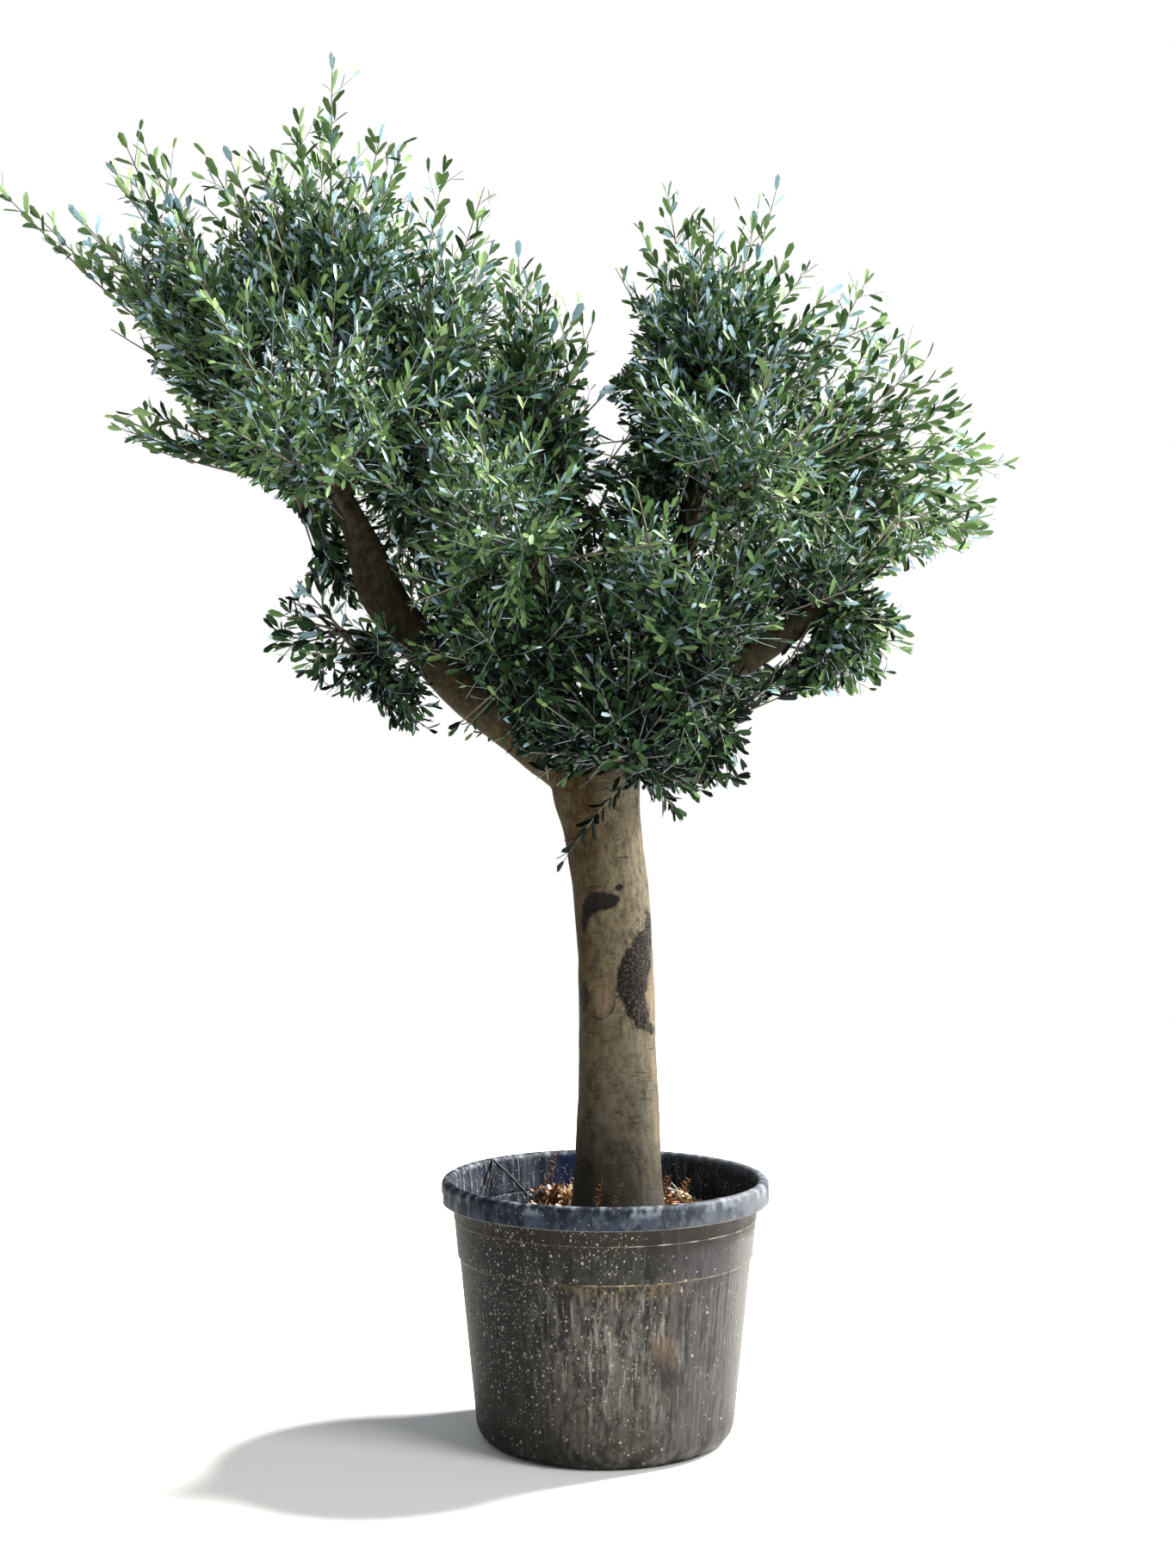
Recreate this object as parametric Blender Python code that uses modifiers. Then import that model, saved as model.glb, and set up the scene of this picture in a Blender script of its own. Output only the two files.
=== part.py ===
"""Potted olive tree: a nursery pot full of soil, a forked trunk, its boughs and a crown of leafy masses.

Metres, +Z up. The origin is the centre of the pot's flat underside. -Y is the front.
"""

import math
import random

import bmesh
import bpy
import numpy
from mathutils import Matrix, Vector

# Fits
GAP = 0.0003
WELD = 0.00001
SCREW_MERGE = 0.00005
SHARP_ANGLE = math.radians(35.0)
UP = Vector((0.0, 0.0, 1.0))

# Pot, turned about Z
POT_HEIGHT = 0.632
POT_SIDES = 36
WALL = 0.006
RIM_RADIUS = 0.400
RIM_MOUTH_RADIUS = 0.3715
RIM_STEPS = 4
LIP_BOTTOM = 0.577
LIP_ROUND = 0.003
MOUTH_SET_IN = 0.004
NECK_RADIUS = 0.3705
BEAD_HEIGHT = 0.5365
BEAD_STEP = 0.0018
BAND_BOTTOM = 0.4460
BAND_RADIUS = 0.3605
BAND_STEP = 0.0045
FOOT_RADIUS = 0.275
HEEL_RADIUS = 0.317
HEEL_HEIGHT = 0.056
HEEL_STEPS = 3

# Soil, and the two heaps of fallen leaves on it
SOIL_TOP = 0.505
HEAP_SINK = 0.45
HEAP_FINENESS = 2
HEAPS = {
    # name: centre x, centre y, radius, height
    "litter_left": (-0.128, 0.222, 0.062, 0.050),
    "litter_right": (0.168, 0.205, 0.058, 0.046),
}

# Watering pipe, which slopes from the soil up to a heap, and the thin tube plugged into it
PIPE_RADIUS = 0.008
PIPE_START = (-0.222, 0.245)
PIPE_END = (-0.140, 0.228)
PIPE_RISE = 0.040
TUBE_RADIUS = 0.0022
TUBE_STEP = 0.018
TUBE_TAP_SHARE = 0.35
TUBE_STUB = 0.012
TUBE_BOW = 0.006
TUBE_BEND_SHARE = 0.12
TUBE_BEND_SET_IN = 0.003
TUBE_REST_ANGLE = 140.0
TUBE_FOOT_ANGLE = 157.0
TUBE_FOOT_RADIUS = 0.338

# Limbs: guide points x, y, z and radius, from the foot of each to its tip
TRUNK = (
    (0.031, 0.0, 0.480, 0.128),
    (0.031, 0.0, 0.530, 0.118),
    (0.030, 0.0, 0.600, 0.109),
    (0.029, 0.0, 0.760, 0.100),
    (0.028, 0.0, 0.940, 0.093),
    (0.024, 0.0, 1.150, 0.090),
    (0.007, 0.0, 1.340, 0.089),
    (-0.008, 0.0, 1.480, 0.093),
    (-0.022, 0.0, 1.570, 0.107),
    (-0.022, 0.0, 1.640, 0.110),
    (-0.014, 0.0, 1.690, 0.080),
)
BOUGHS = {
    "bough_left": (
        (-0.020, 0.000, 1.575, 0.058),
        (-0.112, -0.010, 1.640, 0.057),
        (-0.217, -0.022, 1.722, 0.054),
        (-0.365, -0.035, 1.838, 0.050),
        (-0.502, -0.045, 2.006, 0.046),
        (-0.576, -0.050, 2.165, 0.036),
        (-0.646, -0.052, 2.305, 0.026),
        (-0.670, -0.052, 2.375, 0.022),
        (-0.670, -0.052, 2.450, 0.018),
    ),
    "bough_right": (
        (0.010, -0.020, 1.590, 0.040),
        (0.078, -0.045, 1.672, 0.038),
        (0.184, -0.070, 1.800, 0.036),
        (0.340, -0.092, 1.893, 0.034),
        (0.455, -0.100, 1.972, 0.031),
    ),
    "bough_rear_right": (
        (0.005, 0.020, 1.600, 0.044),
        (0.070, 0.050, 1.705, 0.041),
        (0.124, 0.090, 1.875, 0.038),
        (0.180, 0.125, 2.090, 0.036),
        (0.221, 0.145, 2.300, 0.029),
        (0.243, 0.150, 2.420, 0.020),
    ),
    "bough_centre": (
        (-0.045, -0.005, 1.600, 0.036),
        (-0.075, -0.030, 1.730, 0.034),
        (-0.118, -0.040, 1.900, 0.030),
        (-0.160, -0.035, 2.100, 0.025),
        (-0.186, -0.020, 2.290, 0.018),
    ),
    "bough_rear": (
        (-0.020, 0.040, 1.600, 0.040),
        (-0.012, 0.125, 1.735, 0.037),
        (-0.035, 0.230, 1.890, 0.032),
        (-0.070, 0.330, 2.060, 0.026),
        (-0.095, 0.400, 2.210, 0.018),
    ),
}
RING_STEP = 0.075
CURVE_FINENESS = 12
LIMB_SMOOTHNESS = 2
TRUNK_SMOOTHNESS = 4

# Crown: each mass stands on the tip of a bough, or of a spur that leaves the bough part of the way up
MASSES = {
    # name: bough, share of its length, axis, reach, spread in degrees, leaders
    "left_top": ("bough_left", 1.00, (0.02, 0.00, 1.00), 0.92, 36, 8),
    "left_outer": ("bough_left", 0.88, (-0.75, -0.10, 0.70), 0.98, 32, 8),
    "left_inner": ("bough_left", 0.84, (0.60, -0.05, 0.76), 0.80, 44, 9),
    "left_front": ("bough_left", 0.76, (-0.25, -0.88, 0.42), 0.76, 52, 9),
    "left_back": ("bough_left", 0.80, (-0.25, 0.88, 0.45), 0.82, 50, 10),
    "left_side": ("bough_left", 0.74, (-0.74, 0.10, 0.66), 0.60, 40, 8),
    "left_skirt": ("bough_left", 0.48, (-0.80, -0.50, 0.10), 0.38, 65, 8),
    "centre_top": ("bough_centre", 1.00, (-0.05, -0.05, 1.00), 0.62, 48, 9),
    "centre_front": ("bough_centre", 0.64, (-0.30, -0.92, 0.30), 0.70, 58, 10),
    "centre_low": ("bough_centre", 0.34, (-0.60, -0.80, 0.10), 0.44, 65, 8),
    "fork_shoots": ("trunk", 0.93, (0.30, -0.95, 0.05), 0.40, 70, 9),
    "right_top": ("bough_rear_right", 1.00, (0.02, -0.02, 1.00), 0.72, 42, 9),
    "right_outer": ("bough_rear_right", 0.88, (0.95, -0.05, 0.30), 0.78, 46, 9),
    "right_front": ("bough_rear_right", 0.72, (0.40, -0.90, 0.35), 0.76, 52, 10),
    "right_back": ("bough_rear_right", 0.76, (0.40, 0.86, 0.40), 0.78, 52, 9),
    "right_side": ("bough_right", 1.00, (0.80, -0.20, 0.55), 0.48, 62, 9),
    "right_skirt": ("bough_right", 0.50, (0.20, -0.65, -0.40), 0.34, 68, 9),
    "middle_front": ("bough_rear_right", 0.36, (0.15, -1.00, 0.15), 0.70, 60, 10),
    "rear_top": ("bough_rear", 1.00, (-0.10, 0.55, 0.82), 0.68, 52, 9),
    "rear_low": ("bough_rear", 0.62, (-0.45, 0.90, -0.05), 0.64, 60, 9),
    "rear_right_low": ("bough_rear_right", 0.46, (0.45, 0.88, -0.05), 0.60, 60, 8),
}
SPUR_LENGTH = 0.09
SPUR_RADIUS = 0.016
SPUR_MOST_OF_CARRIER = 0.8
SPUR_TIP_RADIUS = 0.011
SPUR_SWING = 0.5
STEM_SHARE = 0.28
STEM_OF_LIMB = 0.9
STEM_TIP_RADIUS = 0.006
SPINE_SHARE = 0.80
LEADER_RADIUS = 0.0055
LEADER_TIP_RADIUS = 0.0030
LEADER_LIFT = 0.10
LEADER_CUTS = (1.0, 0.86, 0.72, 0.58, 0.44)
LEADER_HIGHEST_ROOT = 0.97
LEADER_ROOT_DROP = 0.62
OUTER_LEADER_LOSS = 0.16
LEADER_LENGTH_PLAY = 0.12
TWIG_SAMPLES = (0.3, 0.5, 0.75, 1.0)
LEAF_LENGTH = 0.230
LEAF_LENGTHS = (0.88, 1.08)
LEAF_WIDTH = 0.086
LEAF_THICKNESS = 0.006
LEAF_SINK = 0.002
LEAF_STEP = 0.17
LEAF_LEAN = 42.0
LEAF_LEANS = (0.8, 1.2)
LEAF_TURNS = 4
LEAF_SAMPLES = (0.25, 0.5, 0.75, 1.0)
TIP_LEAF_REACH = 0.85
LONG_SHOOT = 0.42
BARE_SHARE = 0.30
TWIG_LAP = 0.008
SPACE_MARGIN = 0.003
LIMB_MARGIN = 0.003
STEEP = 0.9
GOLDEN_ANGLE = math.radians(137.508)
SEED = 41


# ---------------------------------------------------------------- scene and finish

def clear_scene():
    for obj in list(bpy.data.objects):
        bpy.data.objects.remove(obj, do_unlink=True)
    for group in list(bpy.data.collections):
        bpy.data.collections.remove(group)


def new_collection(name):
    group = bpy.data.collections.new(name)
    bpy.context.scene.collection.children.link(group)
    return group


def add_object(name, data, group):
    obj = bpy.data.objects.new(name, data)
    group.objects.link(obj)
    return obj


def finish(obj, colour, roughness):
    material = bpy.data.materials.new(obj.name + "_finish")
    material.use_nodes = True
    shader = material.node_tree.nodes["Principled BSDF"]
    shader.inputs["Base Color"].default_value = (*colour, 1.0)
    shader.inputs["Roughness"].default_value = roughness
    shader.inputs["Metallic"].default_value = 0.0
    obj.data.materials.clear()
    obj.data.materials.append(material)


def finish_pot(obj):
    finish(obj, (0.060, 0.064, 0.070), 0.55)


def finish_soil(obj):
    finish(obj, (0.075, 0.052, 0.035), 0.95)


def finish_litter(obj):
    finish(obj, (0.360, 0.220, 0.090), 0.85)


def finish_pipe(obj):
    finish(obj, (0.190, 0.170, 0.150), 0.50)


def finish_tube(obj):
    finish(obj, (0.015, 0.015, 0.016), 0.45)


def finish_bark(obj):
    finish(obj, (0.245, 0.215, 0.160), 0.85)


def finish_leaves(obj):
    finish(obj, (0.110, 0.170, 0.075), 0.55)


# ---------------------------------------------------------------- meshes

def evaluated_mesh(obj):
    bpy.context.view_layer.update()
    graph = bpy.context.evaluated_depsgraph_get()
    return bpy.data.meshes.new_from_object(obj.evaluated_get(graph))


def face_groups(bm):
    """The sets of faces that hang together."""
    waiting = set(bm.faces)
    groups = []
    while waiting:
        stack = [waiting.pop()]
        group = []
        while stack:
            face = stack.pop()
            group.append(face)
            for edge in face.edges:
                for neighbour in edge.link_faces:
                    if neighbour in waiting:
                        waiting.remove(neighbour)
                        stack.append(neighbour)
        groups.append(group)
    return groups


def keep_main_body(mesh):
    """Drops loose scraps and the walls of sealed hollows, and leaves triangles."""
    bm = bmesh.new()
    bm.from_mesh(mesh)
    groups = face_groups(bm)
    main = max(groups, key=lambda group: sum(face.calc_area() for face in group))
    scraps = [face for group in groups if group is not main for face in group]
    bmesh.ops.delete(bm, geom=scraps, context="FACES")
    bmesh.ops.triangulate(bm, faces=bm.faces)
    bm.to_mesh(mesh)
    bm.free()


def apply_modifiers(obj):
    """Replaces the object's mesh by its evaluated one."""
    old = obj.data
    mesh = evaluated_mesh(obj)
    obj.modifiers.clear()
    obj.data = mesh
    bpy.data.meshes.remove(old)


def smooth(obj):
    """Smooth shading that keeps the sharp edges."""
    obj.data.shade_smooth()
    obj.data.set_sharp_from_angle(angle=SHARP_ANGLE)


def cut(obj, cutter):
    """Takes the cutter out of the object, and removes the cutter."""
    modifier = obj.modifiers.new("cut", "BOOLEAN")
    modifier.operation = "DIFFERENCE"
    modifier.solver = "EXACT"
    modifier.object = cutter
    apply_modifiers(obj)
    bpy.data.objects.remove(cutter, do_unlink=True)
    keep_main_body(obj.data)


# ---------------------------------------------------------------- turned pieces

def arc(centre, radius, start, end, steps):
    """Points of an arc in the profile's plane, angles in degrees."""
    points = []
    for step in range(steps + 1):
        angle = math.radians(start + (end - start) * step / steps)
        points.append((centre[0] + radius * math.cos(angle), centre[1] + radius * math.sin(angle)))
    return points


def heel_curve(inset):
    """The rounded bottom edge of the pot, from its wall down to its foot, moved in by inset."""
    points = []
    for step in range(HEEL_STEPS + 1):
        angle = math.radians(90.0 * step / HEEL_STEPS)
        radius = FOOT_RADIUS + (HEEL_RADIUS - FOOT_RADIUS) * math.cos(angle)
        height = HEEL_HEIGHT * (1.0 - math.sin(angle))
        lift = inset * math.sin(angle)
        points.append((radius - inset * math.cos(angle), height + lift))
    return points


def wall_points(inset):
    """The pot's wall from the neck down to the heel, moved in by inset."""
    return [
        (NECK_RADIUS - inset, BEAD_HEIGHT),
        (NECK_RADIUS - BEAD_STEP - inset, BEAD_HEIGHT - BEAD_STEP),
        (BAND_RADIUS - inset, BAND_BOTTOM),
        (BAND_RADIUS - BAND_STEP - inset, BAND_BOTTOM - BAND_STEP),
    ] + heel_curve(inset)


def turned(name, profile, group):
    """Turns a profile, which runs down its outer side, about Z."""
    mesh = bpy.data.meshes.new(name)
    points = [(radius, 0.0, height) for radius, height in profile]
    edges = [(k, k + 1) for k in range(len(points) - 1)]
    mesh.from_pydata(points, edges, [])
    obj = add_object(name, mesh, group)
    screw = obj.modifiers.new("turn", "SCREW")
    screw.axis = "Z"
    screw.angle = math.tau
    screw.steps = POT_SIDES
    screw.render_steps = POT_SIDES
    screw.use_merge_vertices = True
    screw.merge_threshold = SCREW_MERGE
    apply_modifiers(obj)
    smooth(obj)
    return obj


def rim_curve():
    """The rolled top of the rim, from its mouth over the crest to its outer side."""
    half_width = (RIM_RADIUS - RIM_MOUTH_RADIUS) / 2
    centre = (RIM_MOUTH_RADIUS + half_width, POT_HEIGHT - half_width)
    return arc(centre, half_width, 180.0, 0.0, RIM_STEPS)


def make_pot(group):
    inside = [(0.0, WALL)] + wall_points(WALL)[::-1] + [(RIM_MOUTH_RADIUS - MOUTH_SET_IN, LIP_BOTTOM)]
    lip = [(RIM_RADIUS, LIP_BOTTOM + LIP_ROUND), (RIM_RADIUS - LIP_ROUND, LIP_BOTTOM)]
    outside = [(NECK_RADIUS, LIP_BOTTOM)] + wall_points(0.0) + [(0.0, 0.0)]
    pot = turned("pot", inside + rim_curve() + lip + outside, group)
    finish_pot(pot)


def inner_radius(height):
    """Radius of the pot's inner wall between the bead and the band."""
    upper = NECK_RADIUS - BEAD_STEP
    share = (height - BAND_BOTTOM) / (BEAD_HEIGHT - BEAD_STEP - BAND_BOTTOM)
    return BAND_RADIUS + (upper - BAND_RADIUS) * share - WALL


def make_soil(group):
    top = [(0.0, SOIL_TOP), (inner_radius(SOIL_TOP) - GAP, SOIL_TOP)]
    below_bead = wall_points(WALL + GAP)[2:]
    soil = turned("soil", top + below_bead + [(0.0, WALL + GAP)], group)
    finish_soil(soil)


def make_heap(name, group):
    """A low mound of fallen leaves, flat underneath."""
    x, y, radius, height = HEAPS[name]
    bm = bmesh.new()
    bmesh.ops.create_icosphere(bm, subdivisions=HEAP_FINENESS, radius=1.0)
    floor = SOIL_TOP + GAP
    full_height = height / (1.0 - HEAP_SINK)
    centre = Vector((x, y, floor - full_height * HEAP_SINK))
    shape = Matrix.Translation(centre) @ Matrix.Diagonal((radius, radius, full_height, 1.0))
    bmesh.ops.transform(bm, matrix=shape, verts=bm.verts)
    level_foot(bm, floor)
    mesh = bpy.data.meshes.new(name)
    bm.to_mesh(mesh)
    bm.free()
    heap = add_object(name, mesh, group)
    smooth(heap)
    finish_litter(heap)
    return heap


def level_foot(bm, height):
    """Cuts everything below a height away, flat."""
    geometry = bm.verts[:] + bm.edges[:] + bm.faces[:]
    result = bmesh.ops.bisect_plane(
        bm, geom=geometry, plane_co=(0.0, 0.0, height), plane_no=(0.0, 0.0, 1.0), clear_inner=True
    )
    rim = [item for item in result["geom_cut"] if isinstance(item, bmesh.types.BMEdge)]
    bmesh.ops.edgeloop_fill(bm, edges=rim)
    bmesh.ops.recalc_face_normals(bm, faces=bm.faces)


# ---------------------------------------------------------------- limbs

def smooth_path(guides, step):
    """Points (x, y, z, radius), about one step apart, on a smooth curve through the guide points."""
    knots = [numpy.array(guide, dtype=float) for guide in guides]
    knots = [2 * knots[0] - knots[1]] + knots + [2 * knots[-1] - knots[-2]]
    fine = []
    for k in range(1, len(knots) - 2):
        p0, p1, p2, p3 = knots[k - 1:k + 3]
        for part in range(CURVE_FINENESS):
            t = part / CURVE_FINENESS
            bend = 2 * p0 - 5 * p1 + 4 * p2 - p3
            twist = 3 * p1 - 3 * p2 + p3 - p0
            fine.append(0.5 * (2 * p1 + (p2 - p0) * t + bend * t * t + twist * t ** 3))
    fine.append(knots[-2])
    fine = numpy.array(fine)
    runs = numpy.linalg.norm(numpy.diff(fine[:, :3], axis=0), axis=1)
    along = numpy.concatenate(([0.0], numpy.cumsum(runs)))
    count = max(3, round(along[-1] / step) + 1)
    places = numpy.linspace(0.0, along[-1], count)
    return numpy.stack([numpy.interp(places, along, fine[:, axis]) for axis in range(4)], axis=1)


def path_point(path, share):
    """Place, direction and radius at a share of a path's length."""
    place = share * (len(path) - 1)
    first = min(int(place), len(path) - 2)
    point = path[first] + (path[first + 1] - path[first]) * (place - first)
    direction = Vector(path[first + 1][:3] - path[first][:3]).normalized()
    return Vector(point[:3]), direction, float(point[3])


def limb_mesh(name, path, smoothness, swell=0.0):
    """A tapering limb with flat ends; swell makes it that much fatter and longer."""
    curve = bpy.data.curves.new(name, "CURVE")
    curve.dimensions = "3D"
    curve.bevel_depth = 1.0
    curve.bevel_resolution = smoothness
    curve.use_fill_caps = True
    ends = [path[0][:3] - path[1][:3], path[-1][:3] - path[-2][:3]]
    spline = curve.splines.new("POLY")
    spline.points.add(len(path) - 1)
    for k, (x, y, z, radius) in enumerate(path):
        spline.points[k].co = (x, y, z, 1.0)
        spline.points[k].radius = radius + swell
    for k, end in ((0, ends[0]), (-1, ends[1])):
        shift = end / numpy.linalg.norm(end) * swell
        spline.points[k].co = (*(path[k][:3] + shift), 1.0)
    obj = bpy.data.objects.new(name + "_curve", curve)
    bpy.context.scene.collection.objects.link(obj)
    mesh = evaluated_mesh(obj)
    mesh.transform(obj.matrix_world)
    bpy.data.objects.remove(obj, do_unlink=True)
    bpy.data.curves.remove(curve)
    bm = bmesh.new()
    bm.from_mesh(mesh)
    bmesh.ops.remove_doubles(bm, verts=bm.verts, dist=WELD)
    bmesh.ops.recalc_face_normals(bm, faces=bm.faces)
    bm.to_mesh(mesh)
    bm.free()
    return mesh


def add_limb(name, path, carriers, limbs, group, smoothness=LIMB_SMOOTHNESS):
    """A limb whose foot is cut to fit the limbs that carry or pass it."""
    obj = add_object(name, limb_mesh(name, path, smoothness), group)
    for carrier in carriers:
        cutter_smoothness = TRUNK_SMOOTHNESS if carrier == "trunk" else LIMB_SMOOTHNESS
        mesh = limb_mesh(carrier + "_cutter", limbs[carrier], cutter_smoothness, GAP)
        cut(obj, add_object(carrier + "_cutter", mesh, group))
    obj.data.name = name
    smooth(obj)
    limbs[name] = path
    finish_bark(obj)
    return obj


def make_trunk(limbs, group):
    path = smooth_path(TRUNK, RING_STEP)
    trunk = add_limb("trunk", path, (), limbs, group, TRUNK_SMOOTHNESS)
    bm = bmesh.new()
    bm.from_mesh(trunk.data)
    level_foot(bm, SOIL_TOP + GAP)
    bm.to_mesh(trunk.data)
    bm.free()


def make_boughs(limbs, group):
    carriers = ["trunk"]
    for name, guides in BOUGHS.items():
        add_limb(name, smooth_path(guides, RING_STEP), carriers, limbs, group)
        carriers.append(name)


def spur_path(carrier, share, axis):
    """A short limb that leaves its carrier part of the way up and swings round to the mass's axis."""
    root, along, radius = path_point(carrier, share)
    length = SPUR_LENGTH + radius
    knee = root + (along * SPUR_SWING + axis).normalized() * length / 2
    tip = knee + axis * length / 2
    thick = min(SPUR_RADIUS, radius * SPUR_MOST_OF_CARRIER)
    guides = ((*root, thick), (*knee, (thick + SPUR_TIP_RADIUS) / 2), (*tip, SPUR_TIP_RADIUS))
    return smooth_path(guides, SPUR_LENGTH / 2)


def make_spurs(limbs, group):
    """One spur for each mass that isn't on a bough's own tip. Returns the limb that each mass stands on."""
    stands = {}
    for name, (carrier, share, axis, reach, spread, leaders) in MASSES.items():
        if share == 1.0:
            stands[name] = carrier
            continue
        path = spur_path(limbs[carrier], share, Vector(axis).normalized())
        stands[name] = "spur_" + name
        add_limb(stands[name], path, [carrier], limbs, group)
    return stands


# ---------------------------------------------------------------- watering pipe and tube

def make_pipe(heap, group):
    """A short pipe whose upper end is cut to fit the heap. Returns its two ends' centres."""
    flat_run = math.dist(PIPE_START, PIPE_END)
    slope = math.atan2(PIPE_RISE, flat_run)
    low = SOIL_TOP + GAP + PIPE_RADIUS * math.cos(slope)
    start = Vector((*PIPE_START, low))
    end = Vector((*PIPE_END, low + PIPE_RISE))
    path = numpy.array([(*start.lerp(end, share), PIPE_RADIUS) for share in (0.0, 0.5, 1.0)])
    pipe = add_object("water_pipe", limb_mesh("water_pipe", path, LIMB_SMOOTHNESS), group)
    bm = bmesh.new()
    bm.from_mesh(heap.data)
    for vert in bm.verts:
        vert.co += vert.normal * GAP * 2
    mesh = bpy.data.meshes.new("heap_cutter")
    bm.to_mesh(mesh)
    bm.free()
    cut(pipe, add_object("heap_cutter", mesh, group))
    smooth(pipe)
    finish_pipe(pipe)
    return start, end


def in_pot(angle, radius, height):
    turn = math.radians(angle)
    return Vector((radius * math.cos(turn), radius * math.sin(turn), height))


def make_tube(pipe_start, pipe_end, group):
    """A thin tube from a tap on the pipe, up to a bend that rests on the rim, and down to the soil."""
    side = (pipe_end - pipe_start).normalized()
    above = (UP - side * UP.dot(side)).normalized()
    tap = pipe_start.lerp(pipe_end, TUBE_TAP_SHARE) + above * (PIPE_RADIUS + GAP)
    mouth_radius, mouth_height = rim_curve()[1]
    seat = (TUBE_RADIUS + GAP) * math.sqrt(0.5)
    rest = in_pot(TUBE_REST_ANGLE, mouth_radius - seat, mouth_height + seat)
    foot = in_pot(TUBE_FOOT_ANGLE, TUBE_FOOT_RADIUS, SOIL_TOP + GAP + TUBE_RADIUS)
    inward = in_pot(TUBE_REST_ANGLE, -TUBE_BEND_SET_IN, 0.0)
    guides = [
        tap,
        tap + above * TUBE_STUB,
        tap.lerp(rest, 0.5) + UP * TUBE_BOW,
        rest.lerp(tap, TUBE_BEND_SHARE) + inward,
        rest,
        rest.lerp(foot, TUBE_BEND_SHARE) + inward,
        rest.lerp(foot, 0.5) + inward,
        foot,
    ]
    path = smooth_path([(*guide, TUBE_RADIUS) for guide in guides], TUBE_STEP)
    tube = add_object("water_tube", limb_mesh("water_tube", path, LIMB_SMOOTHNESS), group)
    smooth(tube)
    finish_tube(tube)


# ---------------------------------------------------------------- leafy masses

def line_distances(point, starts, ends):
    """Distances from one point to many straight pieces."""
    along = ends - starts
    share = ((point - starts) * along).sum(axis=1) / (along * along).sum(axis=1)
    nearest = starts + along * numpy.clip(share, 0.0, 1.0)[:, None]
    return numpy.linalg.norm(point - nearest, axis=1)


class Space:
    """What a twig or leaf of one mass has to stay clear of."""

    def __init__(self, name, spines, limbs):
        self.own = list(spines).index(name)
        self.spine_starts = numpy.array([spine[0] for spine in spines.values()])
        self.spine_ends = numpy.array([spine[1] for spine in spines.values()])
        paths = limbs.values()
        self.limb_starts = numpy.concatenate([path[:-1, :3] for path in paths])
        self.limb_ends = numpy.concatenate([path[1:, :3] for path in paths])
        self.limb_radii = numpy.concatenate([numpy.maximum(path[:-1, 3], path[1:, 3]) for path in paths])

    def holds(self, points, half_width):
        """True where every point is nearest to this mass's own spine, and clear of each limb."""
        for point in points:
            point = numpy.array(point)
            reach = line_distances(point, self.spine_starts, self.spine_ends)
            own = reach[self.own]
            reach[self.own] = math.inf
            if own + SPACE_MARGIN > reach.min():
                return False
            room = line_distances(point, self.limb_starts, self.limb_ends) - self.limb_radii
            if room.min() < half_width + LIMB_MARGIN:
                return False
            if math.hypot(point[0], point[1]) < RIM_RADIUS and point[2] < POT_HEIGHT:
                return False
        return True


def piece_frame(start, end, roll):
    """A matrix whose Z runs from start to end, with its origin halfway."""
    direction = end - start
    turn = direction.to_track_quat("Z", "Y").to_matrix().to_4x4()
    return Matrix.Translation((start + end) / 2) @ turn @ Matrix.Rotation(roll, 4, "Z")


def twig_mesh(start, end, radius_start, radius_end, roll):
    """A three-sided tapering twig."""
    bm = bmesh.new()
    bmesh.ops.create_cone(
        bm, cap_ends=True, cap_tris=False, segments=3, radius1=radius_start, radius2=radius_end,
        depth=(end - start).length, matrix=piece_frame(start, end, roll),
    )
    return bm


def leaf_mesh(root, direction, roll, length):
    """A leaf of eight faces that stands for a spray."""
    bm = bmesh.new()
    size = Matrix.Diagonal((LEAF_WIDTH / 2, LEAF_THICKNESS / 2, length / 2, 1.0))
    frame = piece_frame(root, root + direction * length, roll)
    bmesh.ops.create_uvsphere(bm, u_segments=4, v_segments=2, radius=1.0, matrix=frame @ size)
    return bm


def add_piece(bm, pieces, group):
    mesh = bpy.data.meshes.new("piece")
    bm.to_mesh(mesh)
    bm.free()
    pieces.append(add_object("piece", mesh, group))


def twig_fits(start, end, radius, space):
    samples = [start.lerp(end, share) for share in TWIG_SAMPLES]
    return space.holds(samples, radius)


def leaf_fits(root, direction, length, space):
    side = square_to(direction)
    lift = side.cross(direction)
    samples = [root + direction * length * share for share in LEAF_SAMPLES]
    middle = root + direction * length / 2
    for across in (side, -side, lift, -lift):
        samples.append(middle + across * LEAF_WIDTH / 2)
    return space.holds(samples, LEAF_THICKNESS)


def square_to(axis):
    """A direction at right angles to an axis."""
    steady = UP if abs(axis.z) < STEEP else Vector((1.0, 0.0, 0.0))
    return axis.cross(steady).normalized()


def tilted(axis, polar, turn):
    """The axis leaned by a polar angle, turned about itself."""
    leaned = Matrix.Rotation(polar, 3, square_to(axis)) @ axis
    return (Matrix.Rotation(turn, 3, axis) @ leaned).normalized()


def add_leaf(root, direction, space, rng, pieces, group):
    length = LEAF_LENGTH * rng.uniform(*LEAF_LENGTHS)
    start = root - direction * LEAF_SINK
    roll = rng.uniform(0.0, math.pi)
    if not leaf_fits(start, direction, length, space):
        return False
    add_piece(leaf_mesh(start, direction, roll, length), pieces, group)
    return True


def leaves_along(start, end, first_share, space, rng, pieces, group):
    """Leaves round a shoot, each turned on until it fits."""
    run = end - start
    direction = run.normalized()
    count = round(run.length * (1.0 - first_share) / LEAF_STEP)
    turn = rng.uniform(0.0, math.tau)
    for k in range(count):
        root = start.lerp(end, first_share + (1.0 - first_share) * k / count)
        lean = math.radians(LEAF_LEAN * rng.uniform(*LEAF_LEANS))
        turn += GOLDEN_ANGLE
        for attempt in range(LEAF_TURNS):
            outward = tilted(direction, lean, turn + attempt * math.tau / LEAF_TURNS)
            if add_leaf(root, outward, space, rng, pieces, group):
                break


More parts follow.
